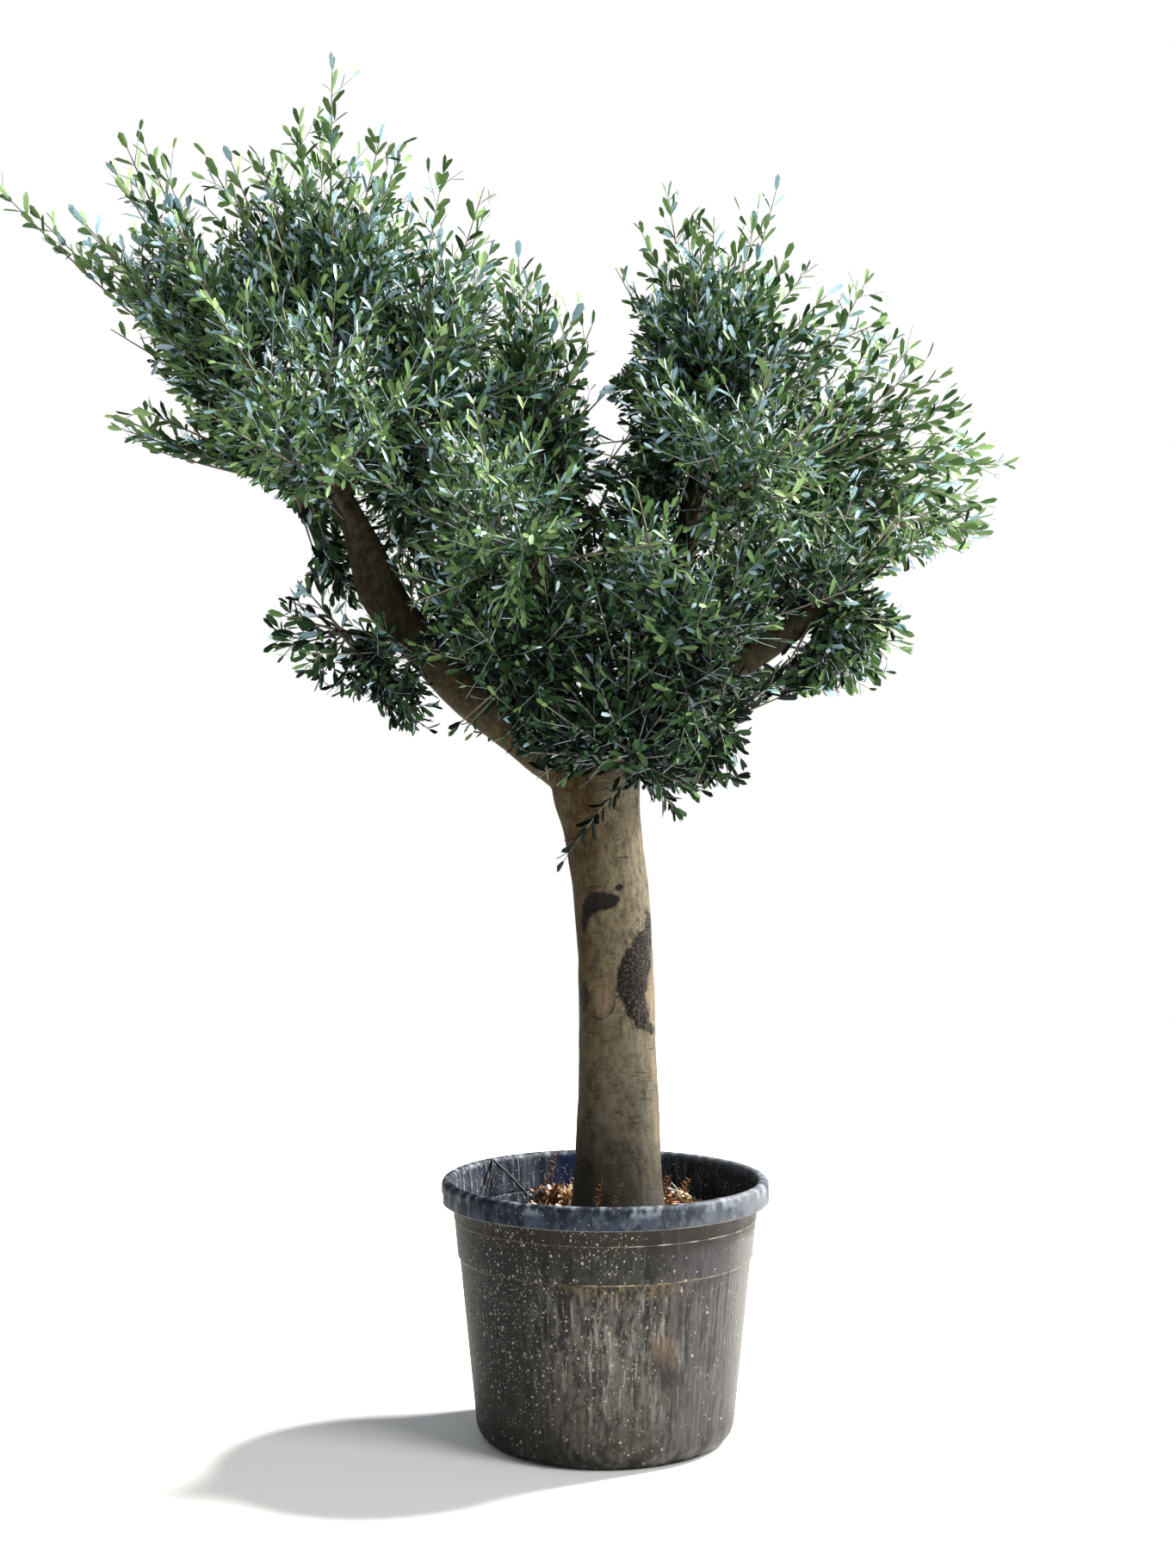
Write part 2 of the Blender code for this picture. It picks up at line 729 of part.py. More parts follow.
def leader_points(root, aim, length):
    """A short shoot is straight, and a long one arches up from a knee halfway."""
    if length < LONG_SHOOT:
        return [root, root + aim * length]
    bent = (aim - UP * LEADER_LIFT).normalized()
    lifted = (aim + UP * LEADER_LIFT).normalized()
    knee = root + bent * length / 2
    return [root, knee, knee + lifted * length / 2]


def grow_leader(root, aim, length, space, rng, pieces, group):
    """One shoot with its leaves and a leaf at its tip, cut shorter until it fits."""
    for shorter in LEADER_CUTS:
        points = leader_points(root, aim, length * shorter)
        last_run = (points[-1] - points[-2]).normalized()
        leaf_tip = points[-1] + last_run * LEAF_LENGTH
        runs = list(zip(points, points[1:] + [leaf_tip]))
        if all(twig_fits(start, end, LEADER_RADIUS, space) for start, end in runs):
            break
    else:
        return
    radii = numpy.linspace(LEADER_RADIUS, LEADER_TIP_RADIUS, len(points))
    for k in range(len(points) - 1):
        lap = (points[k + 1] - points[k]).normalized() * TWIG_LAP * k
        roll = rng.uniform(0.0, math.tau)
        twig = twig_mesh(points[k] - lap, points[k + 1], radii[k], radii[k + 1], roll)
        add_piece(twig, pieces, group)
        leaves_along(points[k], points[k + 1], BARE_SHARE * (1 - k), space, rng, pieces, group)
    add_leaf(points[-1], last_run, space, rng, pieces, group)


def grow_pieces(name, limb, space, group):
    """The stem, twigs and leaves of one mass, as loose closed pieces."""
    carrier, share, axis, reach, spread, leaders = MASSES[name]
    rng = random.Random(SEED + list(MASSES).index(name))
    tip, axis, radius = path_point(limb, 1.0)
    start = tip + axis * GAP
    stem_tip = start + axis * reach * STEM_SHARE
    pieces = []
    add_piece(twig_mesh(start, stem_tip, radius * STEM_OF_LIMB, STEM_TIP_RADIUS, 0.0), pieces, group)
    for k in range(leaders):
        rank = math.sqrt(k / max(1, leaders - 1))
        polar = math.radians(spread) * rank
        aim = tilted(axis, polar, k * GOLDEN_ANGLE)
        root = start.lerp(stem_tip, LEADER_HIGHEST_ROOT - LEADER_ROOT_DROP * rank)
        loss = OUTER_LEADER_LOSS * rank * rank + rng.uniform(0.0, LEADER_LENGTH_PLAY)
        length = reach * (1.0 - loss) - (root - start).length
        grow_leader(root, aim, length - LEAF_LENGTH * TIP_LEAF_REACH, space, rng, pieces, group)
    return pieces


def fuse(name, pieces, group, cutters):
    """Joins the loose pieces of a mass into one closed body."""
    body = pieces[0]
    body.name = name
    for piece in pieces[1:]:
        group.objects.unlink(piece)
        cutters.objects.link(piece)
    union = body.modifiers.new("fuse", "BOOLEAN")
    union.operation = "UNION"
    union.operand_type = "COLLECTION"
    union.collection = cutters
    union.solver = "EXACT"
    apply_modifiers(body)
    for piece in pieces[1:]:
        bpy.data.objects.remove(piece, do_unlink=True)
    keep_main_body(body.data)
    body.data.name = name
    finish_leaves(body)


def make_masses(limbs, stands, group, cutters):
    spines = {}
    for name, (carrier, share, axis, reach, spread, leaders) in MASSES.items():
        tip, axis, radius = path_point(limbs[stands[name]], 1.0)
        spines[name] = (numpy.array(tip), numpy.array(tip + axis * reach * SPINE_SHARE))
    for name in MASSES:
        pieces = grow_pieces(name, limbs[stands[name]], Space(name, spines, limbs), group)
        fuse(name, pieces, group, cutters)


def main():
    clear_scene()
    group = new_collection("potted_olive_tree")
    cutters = new_collection("cutters")
    make_pot(group)
    make_soil(group)
    heaps = {name: make_heap(name, group) for name in HEAPS}
    make_tube(*make_pipe(heaps["litter_left"], group), group)
    limbs = {}
    make_trunk(limbs, group)
    make_boughs(limbs, group)
    stands = make_spurs(limbs, group)
    make_masses(limbs, stands, group, cutters)


main()
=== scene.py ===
import math

import bmesh
import bpy
import numpy as np
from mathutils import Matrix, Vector, noise


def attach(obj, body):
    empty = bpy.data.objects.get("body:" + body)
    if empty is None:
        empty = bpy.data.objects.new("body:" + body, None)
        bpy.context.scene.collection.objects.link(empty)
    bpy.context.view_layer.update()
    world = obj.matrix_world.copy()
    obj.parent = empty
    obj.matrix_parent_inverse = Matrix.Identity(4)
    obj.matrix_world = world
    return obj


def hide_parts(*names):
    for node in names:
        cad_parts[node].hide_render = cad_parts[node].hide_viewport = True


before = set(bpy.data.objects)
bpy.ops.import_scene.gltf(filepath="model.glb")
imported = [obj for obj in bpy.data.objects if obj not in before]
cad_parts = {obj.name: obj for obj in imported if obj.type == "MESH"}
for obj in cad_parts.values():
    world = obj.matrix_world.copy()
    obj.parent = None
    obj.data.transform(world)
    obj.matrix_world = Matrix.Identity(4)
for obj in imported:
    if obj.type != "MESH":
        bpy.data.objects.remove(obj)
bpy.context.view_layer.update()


# ------------------------------------------------------------------------------------------------
# Studio. A pale matt floor under an even pale sky, a large soft key light high on the right and a
# little behind the tree, and a broad weak fill at the front. The camera stands at eye height.

def placed(name, data):
    """A new object in the scene, for a mesh, a lamp or a camera."""
    obj = bpy.data.objects.new(name, data)
    bpy.context.scene.collection.objects.link(obj)
    return obj


def from_bmesh(name, bm):
    mesh = bpy.data.meshes.new(name)
    bm.to_mesh(mesh)
    bm.free()
    return placed(name, mesh)


def new_material(name, colour, roughness, **plain):
    """A material with one Principled shader. Returns it, its node tree and the shader."""
    material = bpy.data.materials.new(name)
    material.use_nodes = True
    tree = material.node_tree
    shader = tree.nodes["Principled BSDF"]
    shader.inputs["Base Color"].default_value = (*colour, 1.0)
    shader.inputs["Roughness"].default_value = roughness
    for socket, value in plain.items():
        shader.inputs[socket.replace("_", " ")].default_value = value
    return material, tree, shader


FLOOR_RADIUS, FLOOR_SIDES = 8.0, 96
FLOOR_COLOUR = (0.93, 0.93, 0.93)
bm = bmesh.new()
bmesh.ops.create_circle(bm, cap_ends=True, segments=FLOOR_SIDES, radius=FLOOR_RADIUS)
floor = from_bmesh("floor", bm)
floor.data.materials.append(new_material("floor_paint", FLOOR_COLOUR, 0.9)[0])

SKY_COLOUR, SKY_STRENGTH = (0.92, 0.96, 1.0, 1.0), 0.38
PAPER_COLOUR = (1.0, 1.0, 1.0, 1.0)
world = bpy.data.worlds.new("studio")
bpy.context.scene.world = world
world.use_nodes = True
sky = world.node_tree.nodes["Background"]
sky.inputs["Color"].default_value = SKY_COLOUR
sky.inputs["Strength"].default_value = SKY_STRENGTH
# what the camera sees behind the tree is plain white, a little brighter than what lights it
paper = world.node_tree.nodes.new("ShaderNodeBackground")
paper.inputs["Color"].default_value = PAPER_COLOUR
choice = world.node_tree.nodes.new("ShaderNodeMixShader")
rays = world.node_tree.nodes.new("ShaderNodeLightPath")
world.node_tree.links.new(rays.outputs["Is Camera Ray"], choice.inputs[0])
world.node_tree.links.new(sky.outputs[0], choice.inputs[1])
world.node_tree.links.new(paper.outputs[0], choice.inputs[2])
world.node_tree.links.new(choice.outputs[0], world.node_tree.nodes["World Output"].inputs["Surface"])


def area_light(name, place, target, size, power, colour):
    lamp = bpy.data.lights.new(name, "AREA")
    lamp.shape = "DISK"
    lamp.size = size
    lamp.energy = power
    lamp.color = colour
    obj = placed(name, lamp)
    obj.location = place
    obj.rotation_euler = (Vector(target) - Vector(place)).to_track_quat("-Z", "Y").to_euler()


TREE_MIDDLE = (0.0, 0.0, 1.6)
area_light("key", (5.0, 2.3, 6.2), TREE_MIDDLE, 1.6, 3300.0, (1.0, 0.95, 0.87))
area_light("side", (4.4, -3.6, 4.4), TREE_MIDDLE, 3.0, 340.0, (1.0, 0.97, 0.92))

CAMERA_PLACE = (-0.042, -5.6, 1.6607)
LENS_LENGTH, LENS_RISE = 52.44, -0.01746
camera_data = bpy.data.cameras.new("camera")
camera_data.lens = LENS_LENGTH
camera_data.shift_y = LENS_RISE
camera = placed("camera", camera_data)
camera.location = CAMERA_PLACE
camera.rotation_euler = (math.radians(90.0), 0.0, 0.0)
bpy.context.scene.camera = camera
bpy.context.scene.view_settings.view_transform = "Standard"


# ------------------------------------------------------------------------------------------------
# Trunk and boughs. Smooth grey-tan olive wood, forked at head height into five boughs that carry
# short spurs. One living skin runs over the forks; old pruning wounds have healed over as dark
# crescents, and a plate of rough curled bark is left on the right of the trunk.

STEPS_BETWEEN = 12


def smooth_path(guides, step):
    """Points (x, y, z, radius), about one step apart, on a smooth curve through the guide points."""
    knots = [np.array(guide, dtype=float) for guide in guides]
    knots = [2 * knots[0] - knots[1]] + knots + [2 * knots[-1] - knots[-2]]
    fine = []
    for k in range(1, len(knots) - 2):
        p0, p1, p2, p3 = knots[k - 1:k + 3]
        bend = 2 * p0 - 5 * p1 + 4 * p2 - p3
        twist = 3 * p1 - 3 * p2 + p3 - p0
        for t in np.arange(STEPS_BETWEEN) / STEPS_BETWEEN:
            fine.append(0.5 * (2 * p1 + (p2 - p0) * t + bend * t * t + twist * t ** 3))
    fine = np.array(fine + [knots[-2]])
    along = np.concatenate(([0.0], np.cumsum(np.linalg.norm(np.diff(fine[:, :3], axis=0), axis=1))))
    places = np.linspace(0.0, along[-1], max(3, round(along[-1] / step) + 1))
    return np.stack([np.interp(places, along, fine[:, axis]) for axis in range(4)], axis=1)


def path_point(path, share):
    """Place, direction and radius at a share of a path's length."""
    place = share * (len(path) - 1)
    first = min(int(place), len(path) - 2)
    point = path[first] + (path[first + 1] - path[first]) * (place - first)
    return Vector(point[:3]), Vector(path[first + 1][:3] - path[first][:3]).normalized(), float(point[3])


PATH_STEP = 0.075
TRUNK = (
    (0.031, 0.0, 0.48, 0.128), (0.031, 0.0, 0.53, 0.118), (0.03, 0.0, 0.6, 0.109), (0.029, 0.0, 0.76, 0.1),
    (0.028, 0.0, 0.94, 0.093), (0.024, 0.0, 1.15, 0.09), (0.007, 0.0, 1.34, 0.089),
    (-0.008, 0.0, 1.48, 0.093), (-0.022, 0.0, 1.57, 0.107), (-0.022, 0.0, 1.64, 0.11),
    (-0.014, 0.0, 1.69, 0.08),
)
BOUGHS = {
    "bough_left": (
        (-0.02, 0.0, 1.575, 0.058), (-0.112, -0.01, 1.64, 0.057), (-0.217, -0.022, 1.722, 0.054),
        (-0.365, -0.035, 1.838, 0.05), (-0.502, -0.045, 2.006, 0.046), (-0.576, -0.05, 2.165, 0.036),
        (-0.646, -0.052, 2.305, 0.026), (-0.67, -0.052, 2.375, 0.022), (-0.67, -0.052, 2.45, 0.018),
    ),
    "bough_right": (
        (0.01, -0.02, 1.59, 0.04), (0.078, -0.045, 1.672, 0.038), (0.184, -0.07, 1.8, 0.036),
        (0.34, -0.092, 1.893, 0.034), (0.455, -0.1, 1.972, 0.031),
    ),
    "bough_rear_right": (
        (0.005, 0.02, 1.6, 0.044), (0.07, 0.05, 1.705, 0.041), (0.124, 0.09, 1.875, 0.038),
        (0.18, 0.125, 2.09, 0.036), (0.221, 0.145, 2.3, 0.029), (0.243, 0.15, 2.42, 0.02),
    ),
    "bough_centre": (
        (-0.045, -0.005, 1.6, 0.036), (-0.075, -0.03, 1.73, 0.034), (-0.118, -0.04, 1.9, 0.03),
        (-0.16, -0.035, 2.1, 0.025), (-0.186, -0.02, 2.29, 0.018),
    ),
    "bough_rear": (
        (-0.02, 0.04, 1.6, 0.04), (-0.012, 0.125, 1.735, 0.037), (-0.035, 0.23, 1.89, 0.032),
        (-0.07, 0.33, 2.06, 0.026), (-0.095, 0.4, 2.21, 0.018),
    ),
}
MASSES = {
    # name: bough, share of its length, axis, reach, spread in degrees, leaders
    "left_top": ("bough_left", 1.0, (0.02, 0.0, 1.0), 0.92, 36, 8),
    "left_outer": ("bough_left", 0.88, (-0.75, -0.1, 0.7), 0.98, 32, 8),
    "left_inner": ("bough_left", 0.84, (0.6, -0.05, 0.76), 0.8, 44, 9),
    "left_front": ("bough_left", 0.76, (-0.25, -0.88, 0.42), 0.76, 52, 9),
    "left_back": ("bough_left", 0.8, (-0.25, 0.88, 0.45), 0.82, 50, 10),
    "left_side": ("bough_left", 0.74, (-0.74, 0.1, 0.66), 0.6, 40, 8),
    "left_skirt": ("bough_left", 0.48, (-0.8, -0.5, 0.1), 0.38, 65, 8),
    "centre_top": ("bough_centre", 1.0, (-0.05, -0.05, 1.0), 0.62, 48, 9),
    "centre_front": ("bough_centre", 0.64, (-0.3, -0.92, 0.3), 0.7, 58, 10),
    "centre_low": ("bough_centre", 0.34, (-0.6, -0.8, 0.1), 0.44, 65, 8),
    "fork_shoots": ("trunk", 0.93, (0.3, -0.95, 0.05), 0.4, 70, 9),
    "right_top": ("bough_rear_right", 1.0, (0.02, -0.02, 1.0), 0.72, 42, 9),
    "right_outer": ("bough_rear_right", 0.88, (0.95, -0.05, 0.3), 0.78, 46, 9),
    "right_front": ("bough_rear_right", 0.72, (0.4, -0.9, 0.35), 0.76, 52, 10),
    "right_back": ("bough_rear_right", 0.76, (0.4, 0.86, 0.4), 0.78, 52, 9),
    "right_side": ("bough_right", 1.0, (0.8, -0.2, 0.55), 0.48, 62, 9),
    "right_skirt": ("bough_right", 0.5, (0.2, -0.65, -0.4), 0.34, 68, 9),
    "middle_front": ("bough_rear_right", 0.36, (0.15, -1.0, 0.15), 0.7, 60, 10),
    "rear_top": ("bough_rear", 1.0, (-0.1, 0.55, 0.82), 0.68, 52, 9),
    "rear_low": ("bough_rear", 0.62, (-0.45, 0.9, -0.05), 0.64, 60, 9),
    "rear_right_low": ("bough_rear_right", 0.46, (0.45, 0.88, -0.05), 0.6, 60, 8),
}
SPUR_LENGTH, SPUR_FOOT_RADIUS, SPUR_TIP_RADIUS = 0.09, 0.016, 0.011


def spur_path(carrier, share, axis):
    """A short limb that leaves its carrier part of the way up and swings round to the mass's axis."""
    root, along, radius = path_point(carrier, share)
    length = SPUR_LENGTH + radius
    knee = root + (along * 0.5 + axis).normalized() * length / 2
    tip = knee + axis * length / 2
    thick = min(SPUR_FOOT_RADIUS, radius * 0.8)
    guides = ((*root, thick), (*knee, (thick + SPUR_TIP_RADIUS) / 2), (*tip, SPUR_TIP_RADIUS))
    return smooth_path(guides, SPUR_LENGTH / 2)


limbs = {"trunk": smooth_path(TRUNK, PATH_STEP)}
for name, guides in BOUGHS.items():
    limbs[name] = smooth_path(guides, PATH_STEP)
stands = {}
for name, (carrier, share, axis, reach, spread, leaders) in MASSES.items():
    stands[name] = carrier if share == 1.0 else "spur_" + name
    if share < 1.0:
        limbs[stands[name]] = spur_path(limbs[carrier], share, Vector(axis).normalized())


# The bark is one mesh over trunk, boughs and spurs with its own relief: fine upright grain, healed
# wounds with raised lips, a scaly plate on the right and an ochre tinge on the left, darkened there
# with painted shade. The marks are painted from fields held on the mesh's points, and the fine noise
# frays their edges.

def feed(tree, node, inputs):
    """Links each named input of a node where it is given a socket, or else sets it."""
    for name, value in inputs.items():
        if isinstance(value, bpy.types.NodeSocket):
            tree.links.new(value, node.inputs[name])
        else:
            node.inputs[name].default_value = value


def add_node(tree, kind, inputs=None, **settings):
    """A shader node with its settings, fed with its inputs."""
    node = tree.nodes.new("ShaderNode" + kind)
    for name, value in settings.items():
        setattr(node, name, value)
    feed(tree, node, inputs or {})
    return node


def place_of(tree):
    """The point's place on the object, in metres."""
    return add_node(tree, "TexCoord").outputs["Object"]


def noise_of(tree, place, scale, detail=2.0, stretch=(1.0, 1.0, 1.0), roughness=0.5):
    """Fine noise at a place. A stretch under 1 draws it out along that axis."""
    stretched = add_node(tree, "Mapping", {"Vector": place, "Scale": stretch}).outputs["Vector"]
    return add_node(tree, "TexNoise", {
        "Vector": stretched, "Scale": scale, "Detail": detail, "Roughness": roughness,
    }).outputs[0]


def ramp(tree, value, low, high, start=0.0, end=1.0):
    """The value carried smoothly from low, high to start, end."""
    inputs = {"Value": value, "From Min": low, "From Max": high, "To Min": start, "To Max": end}
    return add_node(tree, "MapRange", inputs, interpolation_type="SMOOTHSTEP").outputs["Result"]


def sums(tree, kind, first, *others):
    """A sum of one kind, worked from the first value through the others in turn."""
    for other in others:
        first = add_node(tree, "Math", {0: first, 1: other}, operation=kind).outputs[0]
    return first


def times(tree, *values):
    return sums(tree, "MULTIPLY", *values)


def plus(tree, *values):
    return sums(tree, "ADD", *values)


def window(tree, value, start, full, still_full, end):
    """1 where the value is between full and still_full, fading to 0 at start and end."""
    return times(tree, ramp(tree, value, start, full), ramp(tree, value, end, still_full))


def mixed(tree, share, first, second):
    """Two colours mixed; each may be a colour or a socket."""
    colours = [(*colour, 1.0) if isinstance(colour, tuple) else colour for colour in (first, second)]
    inputs = {0: share, 6: colours[0], 7: colours[1]}
    return add_node(tree, "Mix", inputs, data_type="RGBA").outputs[2]


def painted(tree, colour, *coats):
    """A colour with coats laid over it in turn, each a share and a colour."""
    for share, coat in coats:
        colour = mixed(tree, share, colour, coat)
    return colour


def raised(tree, height, distance, strength):
    """The surface direction where a height of 1 stands out by a distance, shown at a strength."""
    inputs = {"Height": height, "Distance": distance, "Strength": strength}
    return add_node(tree, "Bump", inputs).outputs["Normal"]


def seen(points):
    """Where each point stands in the upright plane through the trunk, looked at from the front."""
    eye = np.array(CAMERA_PLACE)
    scale = (0.0 - eye[1]) / (points[:, 1] - eye[1])
    return eye[0] + (points[:, 0] - eye[0]) * scale, eye[2] + (points[:, 2] - eye[2]) * scale


def ring_faces(rings, sides, first=0):
    """The faces between rings of points that follow one another from the first point on."""
    faces = []
    for k in range(rings - 1):
        for s in range(sides):
            a, b = first + k * sides + s, first + k * sides + (s + 1) % sides
            faces.append((a, b, b + sides, a + sides))
    return faces


# no limb or tube runs along this direction
SLANT = (0.31, 0.87, 0.17)


def tube_parts(path, sides):
    """Points and faces of a closed tube round a path of x, y, z, radius rows."""
    along = np.gradient(path[:, :3], axis=0)
    along /= np.linalg.norm(along, axis=1, keepdims=True)
    side = np.cross(along[0], SLANT)
    rings = []
    for row, direction in zip(path, along):
        side = side - direction * (side @ direction)
        side /= np.linalg.norm(side)
        turns = np.arange(sides) / sides * math.tau
        other = np.cross(direction, side)
        rings.append(row[:3] + row[3] * (np.cos(turns)[:, None] * side + np.sin(turns)[:, None] * other))
    points = np.concatenate(rings + [path[:1, :3], path[-1:, :3]])
    faces = ring_faces(len(path), sides)
    low, high, last = len(points) - 2, len(points) - 1, (len(path) - 1) * sides
    for s in range(sides):
        faces.append((low, (s + 1) % sides, s))
        faces.append((high, last + s, last + (s + 1) % sides))
    return points, faces


def gathered(parts):
    """Points and faces of several parts, as one list of each."""
    points, faces = [], []
    for part, part_faces in parts:
        faces += [tuple(corner + len(points) for corner in face) for face in part_faces]
        points += np.array(part).tolist()
    return points, faces


BARK_PATH_STEP, BARK_SIDES = 0.02, 28
BARK_VOXEL = 0.005
# each smoothing draws the points together and the next eases them apart, so nothing gets thinner
BARK_SMOOTHINGS, DRAW_IN, EASE_OUT = 7, 0.55, -0.5
skin_paths = [smooth_path(guides, BARK_PATH_STEP) for guides in (TRUNK, *BOUGHS.values())]
skin_paths += [path for name, path in limbs.items() if name.startswith("spur_")]
points, faces = gathered(tube_parts(path, BARK_SIDES) for path in skin_paths)
mesh = bpy.data.meshes.new("bark")
mesh.from_pydata(points, [], faces)
bark = placed("bark", mesh)
remesh = bark.modifiers.new("skin", "REMESH")
remesh.mode = "VOXEL"
remesh.voxel_size = BARK_VOXEL
skin = bpy.data.meshes.new_from_object(bark.evaluated_get(bpy.context.evaluated_depsgraph_get()))
bark.modifiers.clear()
bark.data = skin


def array_of(items, name, width):
    """One row of numbers for each of a mesh's items."""
    values = np.empty(len(items) * width, np.float32)
    items.foreach_get(name, values)
    return values.reshape(-1, width).astype(float)


skin_points = array_of(skin.vertices, "co", 3)
edges = np.empty(len(skin.edges) * 2, np.int32)
skin.edges.foreach_get("vertices", edges)
edges = edges.reshape(-1, 2)
neighbours = np.bincount(edges.ravel(), minlength=len(skin_points))[:, None]
for k in range(BARK_SMOOTHINGS):
    total = np.zeros_like(skin_points)
    for axis in range(3):
        total[:, axis] += np.bincount(edges[:, 0], skin_points[edges[:, 1], axis], len(skin_points))
        total[:, axis] += np.bincount(edges[:, 1], skin_points[edges[:, 0], axis], len(skin_points))
    push = DRAW_IN if k % 2 == 0 else EASE_OUT
    skin_points += (total / neighbours - skin_points) * push
skin.vertices.foreach_set("co", skin_points.astype(np.float32).ravel())
skin.update()
normals = array_of(skin.vertices, "normal", 3)
faces_front = np.clip(-normals[:, 1] * 2.0 + 0.1, 0.0, 1.0)
mark_x, mark_z = seen(skin_points)


def stroke(guides, soft=0.02):
    """A field that is 1 in a stroke, 0 outside it and a half on its edge: guides of x, z, half width."""
    best = np.full(len(mark_x), -1.0)
    for (x0, z0, w0), (x1, z1, w1) in zip(guides, guides[1:]):
        run_x, run_z = x1 - x0, z1 - z0
        share = np.clip(((mark_x - x0) * run_x + (mark_z - z0) * run_z) / (run_x ** 2 + run_z ** 2), 0.0, 1.0)
        away = np.hypot(mark_x - x0 - run_x * share, mark_z - z0 - run_z * share)
        best = np.maximum(best, w0 + (w1 - w0) * share - away)
    return np.clip(0.5 + best / soft, 0.0, 1.0) * faces_front


wound = np.maximum.reduce([
    stroke((
        (-0.052, 1.232, 0.004), (-0.05, 1.262, 0.009), (-0.041, 1.286, 0.015), (-0.026, 1.304, 0.023),
        (-0.006, 1.308, 0.024), (0.011, 1.308, 0.019), (0.026, 1.312, 0.01),
    )),
    stroke(((0.03, 1.339, 0.008), (0.034, 1.342, 0.008)), 0.01),
    stroke(((0.044, 1.208, 0.004), (0.052, 1.207, 0.003)), 0.008) * 0.8,
    stroke(((0.026, 1.413, 0.002), (0.048, 1.414, 0.004), (0.062, 1.414, 0.002)), 0.008) * 0.75,
    stroke(((0.091, 1.402, 0.003), (0.096, 1.368, 0.004)), 0.008) * 0.8,
])
plate = stroke((
    (0.101, 1.276, 0.012), (0.101, 1.235, 0.017), (0.092, 1.205, 0.022), (0.077, 1.165, 0.031),
    (0.066, 1.13, 0.034), (0.064, 1.085, 0.035), (0.073, 1.045, 0.027), (0.089, 1.012, 0.017),
    (0.105, 0.993, 0.01),
))
rough = stroke(((-0.056, 1.106, 0.01), (-0.05, 1.075, 0.016), (-0.052, 1.044, 0.011)))

# an oval of pink young bark has closed over an old wound
OVAL_X, OVAL_Z, OVAL_HALF_WIDTH, OVAL_HALF_HEIGHT = -0.012, 1.068, 0.0365, 0.05
oval = np.hypot((mark_x - OVAL_X) / OVAL_HALF_WIDTH, (mark_z - OVAL_Z) / OVAL_HALF_HEIGHT)
oval_lip = np.clip(1.0 - np.abs(oval - 1.0) / 0.2, 0.0, 1.0) * faces_front
lower_right = np.clip((mark_x - OVAL_X) * 14.0 - (mark_z - OVAL_Z) * 9.0 + 0.35, 0.12, 1.0)
oval_line = np.clip(1.0 - np.abs(oval - 1.0) / 0.13, 0.0, 1.0) * lower_right * faces_front
oval_heart = np.clip(1.3 - np.hypot((mark_x + 0.003) / 0.021, (mark_z - 1.062) / 0.046), 0.0, 1.0)
pink = np.maximum.reduce([
    oval_heart * faces_front,
    stroke(((0.11, 1.17, 0.004), (0.11, 1.1, 0.006), (0.113, 1.02, 0.005)), 0.014) * 0.8,
    stroke(((0.113, 0.925, 0.004), (0.119, 0.87, 0.006)), 0.012) * 0.9,
    stroke(((0.116, 0.82, 0.003), (0.124, 0.72, 0.005)), 0.012) * 0.7,
])
# painted shade: the trunk's left side, turned from the light, and the trunk under the left bough are
# darkened, mixed with an ochre tinge
leftward = np.clip((-mark_x + 0.005) / 0.06, 0.0, 1.0) * np.clip((mark_z - 0.85) / 0.25, 0.15, 1.0)
under_bough = stroke(((-0.13, 1.66, 0.05), (-0.075, 1.52, 0.04), (-0.055, 1.44, 0.02)), 0.05)
ochre_and_shade = np.clip(leftward * 0.9 + under_bough, 0.0, 1.0)
ochre_and_shade *= np.clip(1.0 - (skin_points[:, 2] - 1.72) / 0.1, 0.0, 1.0)

LUMP_HEIGHT, GRAIN_HEIGHT = 0.003, 0.0009
HOLLOW_DEPTH, LIP_RISE, PLATE_RISE = 0.002, 0.0012, 0.0022
OVAL_RISE, OVAL_DEPTH, OVAL_FLOOR = 0.0022, 0.0015, 0.8
lumps = np.array([
    noise.fractal(Vector((x * 11.0, y * 11.0, z * 5.0)), 0.9, 2.0, 3) * LUMP_HEIGHT
    + noise.noise(Vector((x * 38.0, y * 38.0, z * 17.0))) * GRAIN_HEIGHT
    for x, y, z in skin_points
])
thick = np.clip((1.75 - skin_points[:, 2]) / 0.1, 0.3, 1.0)
hollow = np.clip(wound * 1.6 - 0.6, 0.0, 1.0)
lip = np.clip(1.0 - np.abs(wound - 0.45) / 0.45, 0.0, 1.0)
relief = lumps * thick - HOLLOW_DEPTH * hollow + LIP_RISE * lip + PLATE_RISE * plate
relief += OVAL_RISE * oval_lip - OVAL_DEPTH * (oval < OVAL_FLOOR) * faces_front
skin_points += normals * relief[:, None]
# the trunk swells a little to the right above its middle: heights, and how far
SWELL_AT = (0.52, 0.7, 1.0, 1.2, 1.3, 1.36, 1.45, 1.6)
SWELL = (0.004, 0.004, 0.004, 0.006, 0.01, 0.011, 0.005, 0.0)
swell = np.interp(skin_points[:, 2], SWELL_AT, SWELL)
skin_points[:, 0] += swell * np.clip(normals[:, 0], 0.0, 1.0)
# and the left bough has a knee on its outer side
KNEE_AT, KNEE = (1.88, 1.97, 2.05, 2.14, 2.24), (0.0, 0.022, 0.03, 0.02, 0.0)
KNEE_RIGHT_END = -0.38
knee = np.interp(skin_points[:, 2], KNEE_AT, KNEE)
skin_points[:, 0] -= knee * np.clip(-normals[:, 0], 0.0, 1.0) * (skin_points[:, 0] < KNEE_RIGHT_END)
skin.vertices.foreach_set("co", skin_points.astype(np.float32).ravel())
skin.polygons.foreach_set("use_smooth", np.ones(len(skin.polygons), bool))
fields = {
    "wound": wound, "plate": plate, "rough": rough, "healed_edge": oval_line, "pink": pink, "ochre_and_shade": ochre_and_shade,
}
for name, values in fields.items():
    skin.attributes.new(name, "FLOAT", "POINT").data.foreach_set("value", values.astype(np.float32))
skin.update()
bark.name = "bark_skin"

